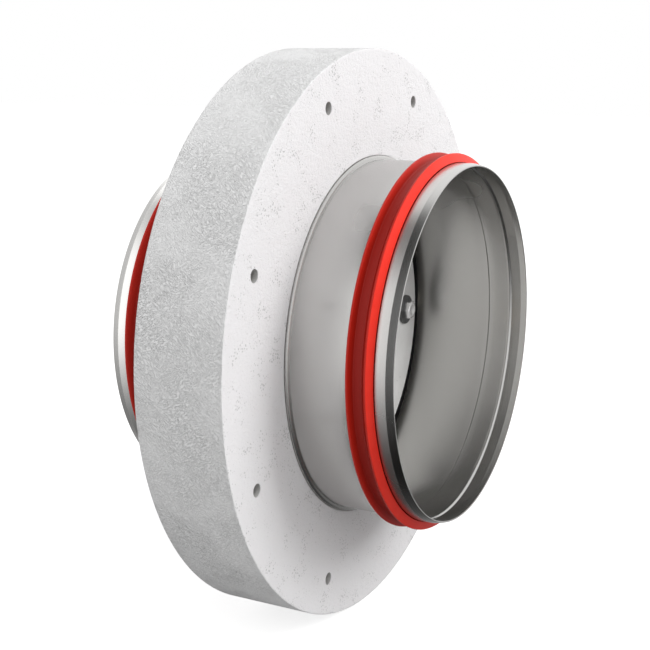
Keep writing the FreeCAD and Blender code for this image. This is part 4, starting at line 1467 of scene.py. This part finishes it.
@dataclass
class Spigot:
    """One rolled tube with its lip seal."""

    facing: Facing
    radius: float = 99.3
    wall: float = 0.8
    mouth: float = 84.0
    ring_face: float = 25.0
    inner_end: float = 10.2
    leadin: float = 4.0
    leadin_drop: float = 1.0
    bead_front: float = 74.1
    bead_width: float = 2.2
    bead_depth: float = 1.0
    seat_drop: float = 0.6
    seat_back: float = 59.9
    foot_rise: float = 2.2
    foot_width: float = 1.6
    foot_sink: float = 0.5
    seal_floor: float = 1.8
    seal_nose: float = 1.9
    lip_reach: float = 6.1
    front_rake: float = 2.1
    rear_rake: float = 1.4
    lip_root: float = 3.5
    lip_tip: float = 1.1
    rear_lip: float = 1.7
    heel: float = 0.3
    anchor_hole: tuple = (-98.9, -15.0, -11.7)
    anchor_hole_radius: float = 0.8
    tube_step: float = 4.0
    seal_step: float = 1.2
    segments: int = 384

    def tube(self) -> bpy.types.Object:
        """Turns the tube's section: rim, lead-in, band, lock bead, seat, wall and foot bead.

        Returns:
            The tube. The front one has the closing spring's anchor hole.
        """
        outer, inner = self.radius, self.radius - self.wall
        bead_middle = self.bead_front - self.bead_width / 2
        bead_back = self.bead_front - self.bead_width
        step = self.seat_back - self.wall
        foot = self.ring_face
        section = [
            (inner, self.inner_end, 0.1),
            (inner, step, 0.3),
            (inner - self.seat_drop, self.seat_back, 0.3),
            (inner - self.seat_drop, bead_back, 0.5),
            (inner - self.bead_depth, bead_middle, 0.8),
            (inner, self.bead_front, 0.4),
            (inner, self.mouth - self.leadin, 1.5),
            (inner - self.leadin_drop, self.mouth, 0.36),
            (outer - self.leadin_drop, self.mouth, 0.36),
            (outer, self.mouth - self.leadin, 1.5),
            (outer, self.bead_front, 0.4),
            (outer - self.bead_depth, bead_middle, 0.8),
            (outer - self.seat_drop, bead_back, 0.5),
            (outer - self.seat_drop, self.seat_back, 0.3),
            (outer, step, 0.3),
            (outer, foot + self.foot_width + 0.3, 0.15),
            (outer + 0.55 * self.foot_rise, foot + self.foot_width, 0.8),
            (outer + self.foot_rise, foot + 0.55 * self.foot_width, 0.5),
            (outer + self.foot_rise, foot - self.foot_sink, 0.05),
            (outer, foot - self.foot_sink, 0.05),
            (outer, self.inner_end, 0.1),
        ]
        name = f"{self.facing.name.lower()}_spigot_tube"
        tube = turned(name, self.section(section, self.tube_step), segments=self.segments)
        if self.facing is Facing.FRONT:
            drilled(tube, [self.anchor_hole], self.anchor_hole_radius, SHAFT_AXIS, 2 * self.wall)
        return tube

    def section(self, section: list, longest: float) -> np.ndarray:
        """Rounds a section's corners and puts it on this side of the ring."""
        corners = [(radius, along * -self.facing.value) for radius, along, _ in section]
        return refined(rounded(corners, [radius for _, _, radius in section], 6), longest)

    def seal(self) -> bpy.types.Object:
        """Turns the seal's section: floor, nose and two steep lips with rounded tips.

        Returns:
            The seal.
        """
        seat = self.radius - self.seat_drop
        floor, tip = seat + self.seal_floor, seat + self.lip_reach
        front = self.bead_front - self.bead_width
        nose = front + self.seal_nose
        crests = (nose - self.front_rake, self.seat_back + self.rear_lip)
        section = [
            (seat, self.seat_back, 0.1),
            (seat, front, 0.1),
            (seat + 1.0, nose, 0.18),
            (tip - self.lip_tip / 3, crests[0], 0.4),
            (tip - self.lip_tip / 2, crests[0] - self.lip_tip, 0.45),
            (floor, crests[0] - self.lip_root, 1.4),
            (floor, crests[1] + self.rear_rake, 0.7),
            (tip - self.lip_tip / 3, crests[1], 0.4),
            (tip - self.lip_tip / 2, crests[1] - self.lip_tip, 0.45),
            (floor, self.seat_back + self.heel, 0.3),
        ]
        name = f"{self.facing.name.lower()}_lip_seal_rubber"
        return turned(name, self.section(section, self.seal_step), segments=self.segments)

    def build(self, shop: Workshop) -> None:
        """Makes the tube and its seal.

        Args:
            shop: what dresses and mounts the pieces.
        """
        side = self.facing.name.lower()
        shop.mount(self.tube(), "casing", "spigot_sheet", (f"{side}_spigot",), "sheet")
        shop.mount(self.seal(), "casing", "lip_rubber", (f"{side}_lip_seal",), "red_rubber")


@dataclass
class CasingParts:
    """What is fixed in the tubes: the intumescent strip, the stops and the latch."""

    tube_outer: float = 99.3
    wall_inner: float = 98.4
    roof: float = 98.27
    strip_thick: float = 1.5
    strip_width: float = 20.0
    strip_hole: float = 7.1
    blade_face: float = 12.0
    blade_radius: float = 90.5
    gap: float = 0.3
    sheet: float = 1.5
    stop_half: float = math.radians(9)
    stop_overlap: float = 4.5
    stop_foot: float = 17.0
    open_start: float = 18.0
    open_width: float = 12.0
    open_overlap: float = 6.5
    open_foot: float = 12.0
    latch_half: float = 5.0
    latch_thick: float = 0.6
    latch_root: float = 50.0
    latch_bend: float = 38.0
    latch_tip: tuple = (-12.4, 87.0)

    def strip(self) -> bpy.types.Object:
        """Turns the strip's section and drills it for both bushes.

        Returns:
            The strip.
        """
        inner, half = self.tube_outer - self.strip_thick, self.strip_width / 2
        corners = [(inner, -half), (self.tube_outer, -half), (self.tube_outer, half), (inner, half)]
        strip = turned("intumescent_lining", refined(rounded(corners, 0.3), 2.0), segments=256)
        centres = [(side.value * self.tube_outer, 0, 0) for side in Side]
        return drilled(strip, centres, self.strip_hole, SHAFT_AXIS, 4.0)

    def end_stop(self, name: str, facing: Facing, middle: float) -> bpy.types.Object:
        """Sweeps an angle section round the tube, half an angle to each side of the middle.

        Args:
            name: the piece's name.
            facing: which face of the blade it stops.
            middle: the angle of its middle, in radians.

        Returns:
            The stop.
        """
        near = self.blade_face + self.gap
        inner = self.wall_inner - self.sheet
        upstand = self.blade_radius - self.stop_overlap
        corners = [
            (upstand, near, 0.3),
            (self.wall_inner, near, 1.9),
            (self.wall_inner, near + self.stop_foot, 0.3),
            (inner, near + self.stop_foot, 0.3),
            (inner, near + self.sheet, 0.5),
            (upstand, near + self.sheet, 0.3),
        ]
        outline = rounded([(r, a * -facing.value) for r, a, _ in corners], [c[2] for c in corners])
        return swept(name, outline, middle - self.stop_half, middle + self.stop_half)

    def open_stop(self) -> bpy.types.Object:
        """Extrudes the section of the angle that stops the open blade. Its foot follows the
        tube's wall.

        Returns:
            The stop.
        """
        low = self.blade_face + self.gap
        high = low + self.sheet
        end = high + self.open_foot
        inner = self.wall_inner - self.sheet
        tip = math.sqrt(self.blade_radius**2 - self.open_start**2) - self.open_overlap
        wall = arc(
            self.wall_inner, math.asin(low / self.wall_inner), math.asin(end / self.wall_inner)
        )
        back = arc(inner, math.asin(end / inner), math.asin(high / inner))
        outline = np.concatenate([[(tip, low)], wall, back, [(tip, high)]])
        first, last = self.open_start, self.open_start + self.open_width
        return extruded("open_stop_angle", outline, -last, -first, DUCT_AXIS)

    def latch(self) -> bpy.types.Object:
        """Extrudes the leaf's section across, with a rounded bend.

        Returns:
            The latch.
        """
        tip_y, tip_z = self.latch_tip
        roof = self.roof
        corners = [
            (-self.latch_root, roof, 0.15),
            (-self.latch_bend, roof, 6.0),
            (tip_y, tip_z, 0.15),
            (tip_y, tip_z - self.latch_thick, 0.15),
            (-self.latch_bend, roof - self.latch_thick, 5.4),
            (-self.latch_root, roof - self.latch_thick, 0.15),
        ]
        outline = rounded([c[:2] for c in corners], [c[2] for c in corners], 7)
        return extruded("latch_leaf", outline, -self.latch_half, self.latch_half, SHAFT_AXIS, 0.1)

    def build(self, shop: Workshop) -> None:
        """Makes the strip, the three stops and the latch.

        Args:
            shop: what dresses and mounts the pieces.
        """
        top, bottom = math.pi / 2, -math.pi / 2
        shop.mount(self.strip(), "casing", "intumescent", ("intumescent_strip",), "graphite")
        upper = self.end_stop("upper_stop_angle", Facing.REAR, top)
        lower = self.end_stop("lower_stop_angle", Facing.FRONT, bottom)
        shop.mount(upper, "casing", "bracket_steel", ("upper_stop",), "bracket")
        shop.mount(lower, "casing", "bracket_steel", ("lower_stop",), "bracket")
        shop.mount(self.open_stop(), "casing", "bracket_steel", ("open_stop",), "bracket")
        shop.mount(self.latch(), "casing", "spring_steel", ("latch_spring",), "spring")


@dataclass
class FusibleLink:
    """The brass link on its bracket, with its screw and nut. Across is -X."""

    wall_inner: float = 98.4
    arm_x: float = 54.9
    arm_thick: float = 1.5
    arm_top: float = -45.0
    arm_foot: float = 16.0
    ahead: float = 39.0
    bracket_half: float = 6.0
    plate_half: float = 5.0
    plate_thick: float = 0.8
    plate_length: float = 27.0
    plate_corner: float = 3.0
    free_top: float = -13.0
    fixed_top: float = -28.0
    hole_radius: float = 2.2
    screw_z: float = -50.0
    screw_radius: float = 2.0
    head_radius: float = 3.5
    head_height: float = 2.6
    screw_pitch: float = 0.7
    screw_spare: float = 1.0
    hook_drop: float = 5.0
    nut_flats: float = 7.0
    nut_height: float = 3.2

    def bracket(self) -> bpy.types.Object:
        """Extrudes the bracket's section along the duct. Its foot follows the tube's wall.

        Returns:
            The drilled bracket.
        """
        inner = self.wall_inner - self.arm_thick
        near = self.arm_x - self.arm_thick
        foot = near - self.arm_foot
        down = math.pi
        wall = arc(
            self.wall_inner,
            down + math.acos(self.arm_x / self.wall_inner),
            down + math.acos(foot / self.wall_inner),
        )
        back = arc(inner, down + math.acos(foot / inner), down + math.acos(near / inner))
        top = self.arm_top
        outline = np.concatenate([[(-self.arm_x, top)], wall, back, [(-near, top)]])
        first, last = self.ahead - self.bracket_half, self.ahead + self.bracket_half
        piece = extruded("fuse_bracket_angle", outline, first, last, DUCT_AXIS)
        return drilled(piece, [self.screw_place(self.arm_x)], self.hole_radius, SHAFT_AXIS, 3.0)

    def screw_place(self, across: float) -> tuple:
        """A point on the screw's axis."""
        return (-across, -self.ahead, self.screw_z)

    def plate(self, name: str, face: float, top: float, hole: float) -> bpy.types.Object:
        """Extrudes a plate with round corners and drills it.

        Args:
            name: the piece's name.
            face: the distance of its outer face from the middle.
            top: the height of its upper end.
            hole: the height of its hole.

        Returns:
            The plate.
        """
        left, right = -self.ahead - self.plate_half, -self.ahead + self.plate_half
        low = top - self.plate_length
        corners = [(left, low), (right, low), (right, top), (left, top)]
        outline = rounded(corners, self.plate_corner, 9)
        piece = extruded(name, outline, -face, self.plate_thick - face, SHAFT_AXIS, 0.12)
        centre = (-face, -self.ahead, hole)
        return drilled(piece, [centre], self.hole_radius, SHAFT_AXIS, 3.0)

    def build(self, shop: Workshop) -> None:
        """Makes the bracket, both plates, the screw and the nut.

        Args:
            shop: what dresses and mounts the pieces.
        """
        plate = self.plate_thick
        lap = self.arm_x + plate
        out = Axis(self.screw_place(0), -AXIS_X, AXIS_Y)
        shop.mount(self.bracket(), "casing", "bracket_steel", ("fuse_bracket",), "bracket")
        free_hole = self.free_top - self.hook_drop
        free = self.plate("fuse_link_free_brass", lap + plate, self.free_top, free_hole)
        fixed = self.plate("fuse_link_fixed_brass", lap, self.fixed_top, self.screw_z)
        shop.mount(free, "casing", "link_brass", ("fuse_link_free_plate",), "brass")
        shop.mount(fixed, "casing", "link_brass", ("fuse_link_fixed_plate",), "brass")
        near = self.arm_x - self.arm_thick
        tip = lap + self.nut_height + self.screw_spare
        head_axis = Axis(self.screw_place(near), AXIS_X, AXIS_Y)
        screw = screw_piece(
            "fuse_link_screw_slotted",
            head_axis,
            self.head_radius,
            self.head_height,
            self.screw_radius,
            tip - near,
            self.screw_pitch,
        )
        shop.mount(screw, "casing", "fastener_zinc", ("fuse_link_screw",), "zinc")
        nut = hexagon_head(
            "fuse_link_hexagon",
            self.nut_flats,
            lap,
            lap + self.nut_height,
            self.screw_radius,
            out,
            0.15,
        )
        shop.mount(nut, "casing", "fastener_zinc", ("fuse_link_nut",), "zinc")


def screw_piece(
    name: str,
    axis: Axis,
    head_radius: float,
    head_height: float,
    radius: float,
    length: float,
    pitch: float,
) -> bpy.types.Object:
    """A slotted pan-head screw: its head's section runs from the middle of the top over a round
    shoulder to the seat, and its threaded shank runs back from there.

    Args:
        name: the piece's name.
        axis: from the head's seat towards its top.
        head_radius: the head's radius in millimetres.
        head_height: its height.
        radius: the shank's radius.
        length: the shank's length.
        pitch: the thread's pitch.

    Returns:
        The new object.
    """
    shoulder = 0.55 * head_height
    corners = [(0, 0), (head_radius, 0), (head_radius, 0.96 * head_height), (0, head_height)]
    outline = rounded(corners, (0.01, 0.15, shoulder, 0.01), 8)
    head = turned(f"{name}_head", outline, axis, 48)
    half, reach = 0.26 * head_radius, 2 * head_radius
    slot_corners = np.array([(-half, -reach), (half, -reach), (half, reach), (-half, reach)])
    slot_axis = Axis(axis.origin, axis.along, np.cross(axis.along, axis.start))
    slot_floor = 0.55 * head_height
    slot = extruded("slot", slot_corners, slot_floor, 2 * head_height, slot_axis)
    cut_away(head, [slot])
    rod = threaded_rod(f"{name}_rod", radius, pitch, -length, 0.3, axis)
    return joined(name, [head, rod])


@dataclass
class ClosingSpring:
    """The torsion spring round the left shaft, from the blade's face to the tube's wall."""

    wire: float = 0.6
    radius: float = 5.9
    coil_start: float = -91.5
    pitch: float = 1.25
    first: float = math.radians(59.4)
    turns: float = 3.36
    turn_steps: int = 48
    bend: float = 1.6
    rest: tuple = (-90.9, -12.9, 14.5)
    rest_end: float = -76.5
    anchor: tuple = (-96.3, -15.0, -11.7)
    anchor_end: float = -98.5

    def path(self) -> np.ndarray:
        """The wire's middle: the rest leg, the coil and the anchor leg.

        The coil's point at a share of its turns is its radius round the shaft at the first angle
        less that share, and as far along the shaft as the pitch brings it.

        Returns:
            The path's points in millimetres.
        """
        count = int(self.turns * self.turn_steps)
        turn = np.linspace(0, self.turns * FULL_TURN, count)
        coil = np.stack(
            [
                self.coil_start - self.pitch * turn / FULL_TURN,
                self.radius * np.cos(self.first - turn),
                self.radius * np.sin(self.first - turn),
            ],
            axis=1,
        )
        rest = np.array(self.rest)
        anchor = np.array(self.anchor)
        rest_leg = rounded_path(np.array([(self.rest_end, *rest[1:]), rest, coil[0]]), self.bend)
        anchor_corners = np.array([coil[-1], anchor, (self.anchor_end, *anchor[1:])])
        anchor_leg = rounded_path(anchor_corners, self.bend)
        return np.concatenate([rest_leg[:-1], coil, anchor_leg[1:]])

    def build(self, shop: Workshop) -> None:
        """Makes the wire, which runs from the blade at one end to the casing at the other; it is put
        on no body.

        Args:
            shop: what dresses the piece.
        """
        piece = wire("closing_spring_wire", self.path(), self.wire)
        shop.dress(piece, "spring")
        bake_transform(piece)
        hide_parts("closing_spring")
        LOG.info("%s joins casing and blade", piece.name)


@dataclass
class Blade:
    """The laminated blade with its seals, bolts and hook."""

    radius: float = 90.5
    face: float = 12.0
    chamfer: float = 0.4
    rebate_radius: float = 82.0
    seal_half: float = 1.0
    seal_outer: float = 97.4
    notch: float = 9.0
    pin_radius: float = 4.1
    pin_depth: float = 12.0
    neck: float = 83.9
    clamp: float = 74.0
    washer_radius: float = 9.0
    washer_bore: float = 3.2
    washer_thick: float = 1.6
    bolt_flats: float = 10.0
    bolt_head: float = 4.0
    head_dome: float = 0.25
    head_dish: float = 0.6
    nut_dome: float = 0.2
    bolt_pitch: float = 1.0
    bolt_radius: float = 3.0
    bolt_spare: float = 2.0
    nut_height: float = 5.2
    hook_x: float = 57.0
    hook_z: float = 39.0
    hook_half: float = 8.0
    hook_base: float = 12.0
    hook_rise: float = 12.0
    hook_thick: float = 1.5
    eye_rise: float = 6.0
    eye_radius: float = 2.25
    screw_inset: float = 7.5
    screw_spread: float = 4.0
    screw_radius: float = 2.0
    screw_head: float = 3.5
    screw_head_height: float = 2.2
    screw_length: float = 9.5
    screw_pitch: float = 1.2

    def board(self, facing: Facing) -> bpy.types.Object:
        """Turns a board's section and drills it for the two pins.

        Args:
            facing: which face of the blade it's on.

        Returns:
            The drilled board.
        """
        corners = [
            (0, 0, 0.01),
            (self.rebate_radius, 0, 0.01),
            (self.rebate_radius, self.seal_half, 0.05),
            (self.radius, self.seal_half, 0.1),
            (self.radius, self.face, self.chamfer),
            (0, self.face, 0.01),
        ]
        outline = rounded([(r, a * -facing.value) for r, a, _ in corners], [c[2] for c in corners])
        board = turned(f"blade_{facing.name.lower()}_slab", refined(outline, 6.0), segments=256)
        deep = self.pin_depth
        centres = [(side.value * (self.neck + deep), 0, 0) for side in Side]
        return drilled(board, centres, self.pin_radius, SHAFT_AXIS, deep)

    def seal(self, name: str, upper: bool) -> bpy.types.Object:
        """Sweeps the flat lip round half of the blade.

        A point at a radius starts where it is a notch's height above the shafts, at the angle
        whose sine is the notch over the radius.

        Args:
            name: the piece's name.
            upper: whether it is the upper half.

        Returns:
            The half lip.
        """
        corners = [
            (self.rebate_radius, -self.seal_half, 0.1),
            (self.seal_outer, -0.75 * self.seal_half, 0.6),
            (self.seal_outer, 0.75 * self.seal_half, 0.6),
            (self.rebate_radius, self.seal_half, 0.1),
        ]
        outline = refined(rounded([c[:2] for c in corners], [c[2] for c in corners]), 2.0)
        rise = np.arcsin(self.notch / outline[:, 0])
        start = rise + (0 if upper else math.pi)
        span = math.pi - 2 * rise
        return swept(name, outline, start, start + span, steps=192)

    def fasteners(self, shop: Workshop) -> None:
        """Makes the two clamping bolts, their four washers and two nuts.

        Args:
            shop: what dresses and mounts the pieces.
        """
        seat = self.face + self.washer_thick
        bolts, washers, nuts = [], [], []
        ring = [
            (self.washer_bore, self.face),
            (self.washer_radius, self.face),
            (self.washer_radius, seat),
            (self.washer_bore, seat),
        ]
        for side in Side:
            front = Axis((side.value * self.clamp, 0, 0), -AXIS_Y, AXIS_Z)
            rear = Axis(front.origin, AXIS_Y, AXIS_Z)
            tag = side.name.lower()
            head = hexagon_head(
                f"head_{tag}",
                self.bolt_flats,
                seat,
                seat + self.bolt_head,
                0,
                front,
                self.head_dome,
                self.head_dish,
            )
            tip = seat + self.nut_height + self.bolt_spare
            rod = threaded_rod(
                f"rod_{tag}", self.bolt_radius, self.bolt_pitch, -tip, seat + 0.5, front
            )
            bolts += [head, rod]
            top = seat + self.nut_height
            nut = hexagon_head(
                f"nut_{tag}", self.bolt_flats, seat, top, self.bolt_radius, rear, self.nut_dome
            )
            nuts.append(nut)
            for axis in (front, rear):
                washers.append(turned(f"washer_{tag}", rounded(ring, 0.25), axis, 64))
        for name, pieces, slot, node, finish in (
            ("clamp_bolts_hexagon", bolts, "fastener_zinc", "clamp_bolts", "zinc"),
            # The washers take the rougher zinc whose darker grey is painted shade.
            ("clamp_washers_wide", washers, "washer_zinc", "clamp_washers", "zinc_dull_painted_shade"),
            ("clamp_nuts_hexagon", nuts, "fastener_zinc", "clamp_nuts", "zinc"),
        ):
            shop.mount(joined(name, pieces), "blade", slot, (node,), finish)

    def hook(self) -> bpy.types.Object:
        """Extrudes the hook's bent section and drills its eye.

        Returns:
            The hook.
        """
        outer, fold = self.hook_x + self.hook_base, self.hook_x + self.hook_thick
        top = self.face + self.hook_thick
        tip = self.face + self.hook_rise
        corners = [
            (-outer, -self.face, 0.2),
            (-outer, -top, 0.2),
            (-fold, -top, 0.5),
            (-fold, -tip, 0.2),
            (-self.hook_x, -tip, 0.2),
            (-self.hook_x, -self.face, 1.9),
        ]
        outline = rounded([c[:2] for c in corners], [c[2] for c in corners], 6)
        low, high = self.hook_z - self.hook_half, self.hook_z + self.hook_half
        piece = extruded("blade_hook_angle", outline, low, high, UPRIGHT_AXIS, 0.12)
        eye = (-self.hook_x, -self.face - self.eye_rise, self.hook_z)
        return drilled(piece, [eye], self.eye_radius, SHAFT_AXIS, 3.0)

    def build(self, shop: Workshop) -> None:
        """Makes the boards, the seals, the fasteners, the hook and its screws.

        Args:
            shop: what dresses and mounts the pieces.
        """
        for facing in Facing:
            node = f"blade_{facing.name.lower()}_board"
            shop.mount(self.board(facing), "blade", "blade_board", (node,), "board")
        for upper, half in ((True, "upper"), (False, "lower")):
            seal = self.seal(f"blade_seal_{half}_lip", upper)
            node = f"blade_seal_{half}"
            shop.mount(seal, "blade", "blade_seal_rubber", (node,), "black_rubber")
        self.fasteners(shop)
        shop.mount(self.hook(), "blade", "bracket_steel", ("blade_hook",), "bracket")
        across = -(self.hook_x + self.screw_inset)
        seat = -(self.face + self.hook_thick)
        screws = [
            screw_piece(
                f"hook_screw_{index}",
                Axis((across, seat, self.hook_z + shift), -AXIS_Y, AXIS_X),
                self.screw_head,
                self.screw_head_height,
                self.screw_radius,
                self.screw_length,
                self.screw_pitch,
            )
            for index, shift in enumerate((-self.screw_spread, self.screw_spread))
        ]
        both = joined("hook_screws_slotted", screws)
        shop.mount(both, "blade", "fastener_zinc", ("hook_screws",), "zinc")


@dataclass
class Pivot:
    """The shafts, bushes and spacer, whose solids already have their full shape."""

    finishes: tuple = (
        ("left_stub_shaft", "zinc"),
        ("right_stub_shaft", "zinc"),
        ("left_bush", "bronze"),
        ("right_bush", "bronze"),
        ("right_spacer", "nylon"),
    )

    def build(self, shop: Workshop) -> None:
        """Dresses the solids.

        Args:
            shop: what dresses them.
        """
        for node, finish in self.finishes:
            shop.dress(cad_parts[node], finish)
            LOG.info("%s is dressed", node)


@dataclass(frozen=True)
class Slope:
    """A value that goes smoothly from a first to a last one between two places from -1 to 1 along
    an axis of the world."""

    axis: str
    start: float
    end: float
    first: float = 0.0
    last: float = 1.0


@dataclass
class Studio:
    """The floor, the lights and the camera."""

    frame_pixels: float = 650.0
    focal_pixels: float = 1247.03
    azimuth: float = math.radians(-62.145)
    elevation: float = math.radians(12.169)
    distance: float = 0.72624
    shift_right: float = -0.004833
    shift_up: float = 0.002641
    sensor: float = 36.0
    clip_near: float = 0.01
    clip_far: float = 20.0
    floor_reach: float = 6.0
    floor_colour: str = "#b4b4b4"
    floor_glow: float = 0.8
    key_place: tuple = (0.7, -1.7, 1.1)
    key_power: float = 31.0
    fill_place: tuple = (-1.3, -0.8, 1.5)
    fill_power: float = 14.0
    lamp_size: float = 1.2
    ambient: float = 0.67
    dim_sky: float = 0.2
    dim_floor: float = 0.06
    bright_wall: float = 1.2
    bright_corner: float = 2.4
    far_wall: float = 0.85
    flag_depth: float = 0.86

    def camera(self) -> None:
        """Places the camera where the photograph was taken from."""
        level = math.cos(self.elevation)
        back = Vector(
            (math.sin(self.azimuth) * level, -math.cos(self.azimuth) * level, math.sin(self.elevation))
        )
        right = (-back).cross(Vector((0, 0, 1))).normalized()
        up = right.cross(-back)
        data = bpy.data.cameras.new("camera")
        data.sensor_width = self.sensor
        data.lens = self.sensor * self.focal_pixels / self.frame_pixels
        data.clip_start = self.clip_near
        data.clip_end = self.clip_far
        camera = bpy.data.objects.new("camera", data)
        camera.location = back * self.distance + right * self.shift_right + up * self.shift_up
        camera.rotation_mode = "QUATERNION"
        camera.rotation_quaternion = (-back).to_track_quat("-Z", "Y")
        bpy.context.scene.collection.objects.link(camera)
        bpy.context.scene.camera = camera

    def lamp(self, name: str, place: tuple, power: float) -> None:
        """A square soft lamp that points at the damper.

        Args:
            name: the lamp's name.
            place: where it stands, in metres.
            power: its power in watts.
        """
        data = bpy.data.lights.new(name, "AREA")
        data.shape = "SQUARE"
        data.size = self.lamp_size
        data.energy = power
        lamp = bpy.data.objects.new(name, data)
        lamp.location = place
        lamp.visible_glossy = False
        lamp.rotation_mode = "QUATERNION"
        lamp.rotation_quaternion = (-Vector(place)).to_track_quat("-Z", "Y")
        bpy.context.scene.collection.objects.link(lamp)

    def floor(self) -> None:
        """A pale floor that shows white and keeps a faint shadow."""
        low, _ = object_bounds()
        reach = self.floor_reach
        corners = [(-reach, -reach), (reach, -reach), (reach, reach), (-reach, reach)]
        mesh = bpy.data.meshes.new("floor")
        mesh.from_pydata([(x, y, low.z) for x, y in corners], [], [(0, 1, 2, 3)])
        floor = placed("floor", mesh)
        material = bpy.data.materials.new("pale_floor")
        material.use_nodes = True
        tree = material.node_tree
        tree.nodes.clear()
        rays = add_node(tree, "ShaderNodeLightPath")
        glow = add_node(
            tree,
            "ShaderNodeMath",
            {0: rays.outputs["Is Camera Ray"], 1: self.floor_glow},
            operation="MULTIPLY",
        )
        matt = add_node(tree, "ShaderNodeBsdfDiffuse", {"Color": linear(self.floor_colour)})
        white = add_node(
            tree, "ShaderNodeEmission", {"Color": (1.0, 1.0, 1.0, 1.0), "Strength": glow}
        )
        both = add_node(tree, "ShaderNodeAddShader", {0: matt, 1: white})
        add_node(tree, "ShaderNodeOutputMaterial", {"Surface": both})
        floor.data.materials.append(material)
        floor.visible_glossy = False
        floor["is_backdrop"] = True

    def slopes(self) -> dict:
        """The slopes of brightness that the reflected room is made of.

        Returns:
            Each slope by the name of what it lights or shades.
        """
        return {
            "sky": Slope("Z", 0.55, 0.95, 1.0, self.dim_sky),
            "right_side": Slope("X", -0.1, 0.25),
            "ground_behind": Slope("Z", -0.95, 0.1, self.dim_floor, 1.0),
            "ground_ahead": Slope("Z", -0.75, 0.1, self.dim_floor, 1.0),
            "corner_near": Slope("Y", 0.5, 0.58, self.bright_wall, self.bright_corner),
            "corner_far": Slope("Y", 0.64, 0.8, self.bright_corner, self.far_wall),
            "front_half": Slope("Y", -0.1, -0.4),
            "flag_rear_edge": Slope("Y", 0.36, 0.2),
            "flag_front_edge": Slope("Y", -0.45, -0.3),
            "flag_left_side": Slope("X", 0.5, -0.3, 0.0, self.flag_depth),
        }

    def world(self) -> None:
        """White to the camera, a plain soft light on the object, and in reflections a white room
        that dims towards the floor and overhead, with a dark flag beside the object."""
        world = bpy.data.worlds.new("studio")
        bpy.context.scene.world = world
        world.use_nodes = True
        tree = world.node_tree
        tree.nodes.clear()
        rays = add_node(tree, "ShaderNodeLightPath")
        place = add_node(tree, "ShaderNodeTexCoord")
        axes = add_node(tree, "ShaderNodeSeparateXYZ", {"Vector": place.outputs["Generated"]})
        parts = {"full": 1.0}
        for name, slope in self.slopes().items():
            parts[name] = add_node(
                tree,
                "ShaderNodeMapRange",
                {
                    "Value": axes.outputs[slope.axis],
                    "From Min": slope.start,
                    "From Max": slope.end,
                    "To Min": slope.first,
                    "To Max": slope.last,
                },
                interpolation_type="SMOOTHSTEP",
            )
        for name, operation, first, second in (
            ("overhead", "MAXIMUM", "sky", "right_side"),
            ("behind", "MULTIPLY", "overhead", "ground_behind"),
            ("corner", "MINIMUM", "corner_near", "corner_far"),
            ("rear_half", "MULTIPLY", "behind", "corner"),
            ("flag_edges", "MULTIPLY", "flag_rear_edge", "flag_front_edge"),
            ("flag", "MULTIPLY", "flag_edges", "flag_left_side"),
            ("beside_flag", "SUBTRACT", "full", "flag"),
        ):
            parts[name] = add_node(
                tree, "ShaderNodeMath", {0: parts[first], 1: parts[second]}, operation=operation
            )
        walls = add_node(
            tree,
            "ShaderNodeMix",
            {"Factor": parts["front_half"], "A": parts["rear_half"], "B": parts["ground_ahead"]},
            data_type="FLOAT",
        )
        room = add_node(
            tree, "ShaderNodeMath", {0: walls, 1: parts["beside_flag"]}, operation="MULTIPLY"
        )
        lit = add_node(
            tree,
            "ShaderNodeMix",
            {"Factor": rays.outputs["Is Glossy Ray"], "A": self.ambient, "B": room},
            data_type="FLOAT",
        )
        seen = add_node(
            tree,
            "ShaderNodeMath",
            {0: rays.outputs["Is Camera Ray"], 1: rays.outputs["Is Transmission Ray"]},
            operation="MAXIMUM",
        )
        strength = add_node(
            tree, "ShaderNodeMix", {"Factor": seen, "A": lit, "B": 1.0}, data_type="FLOAT"
        )
        background = add_node(
            tree,
            "ShaderNodeBackground",
            {"Color": (1.0, 1.0, 1.0, 1.0), "Strength": strength},
        )
        add_node(tree, "ShaderNodeOutputWorld", {"Surface": background})

    def build(self) -> None:
        """Sets up the floor, world, lamps and camera."""
        bpy.context.scene.view_settings.view_transform = "Standard"
        self.floor()
        self.world()
        self.lamp("key", self.key_place, self.key_power)
        self.lamp("fill", self.fill_place, self.fill_power)
        self.camera()


def main() -> None:
    """Builds the damper sub-assembly by sub-assembly, and the studio round it."""
    logging.basicConfig(level=logging.INFO, format="%(name)s: %(message)s")
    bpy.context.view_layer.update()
    shop = Workshop()
    Studio().build()
    RefractoryRing().build(shop)
    Spigot(Facing.FRONT).build(shop)
    Spigot(Facing.REAR).build(shop)
    CasingParts().build(shop)
    FusibleLink().build(shop)
    ClosingSpring().build(shop)
    Blade().build(shop)
    Pivot().build(shop)
    LOG.info("%d pieces placed", shop.placed)


if __name__ == "__main__":
    main()
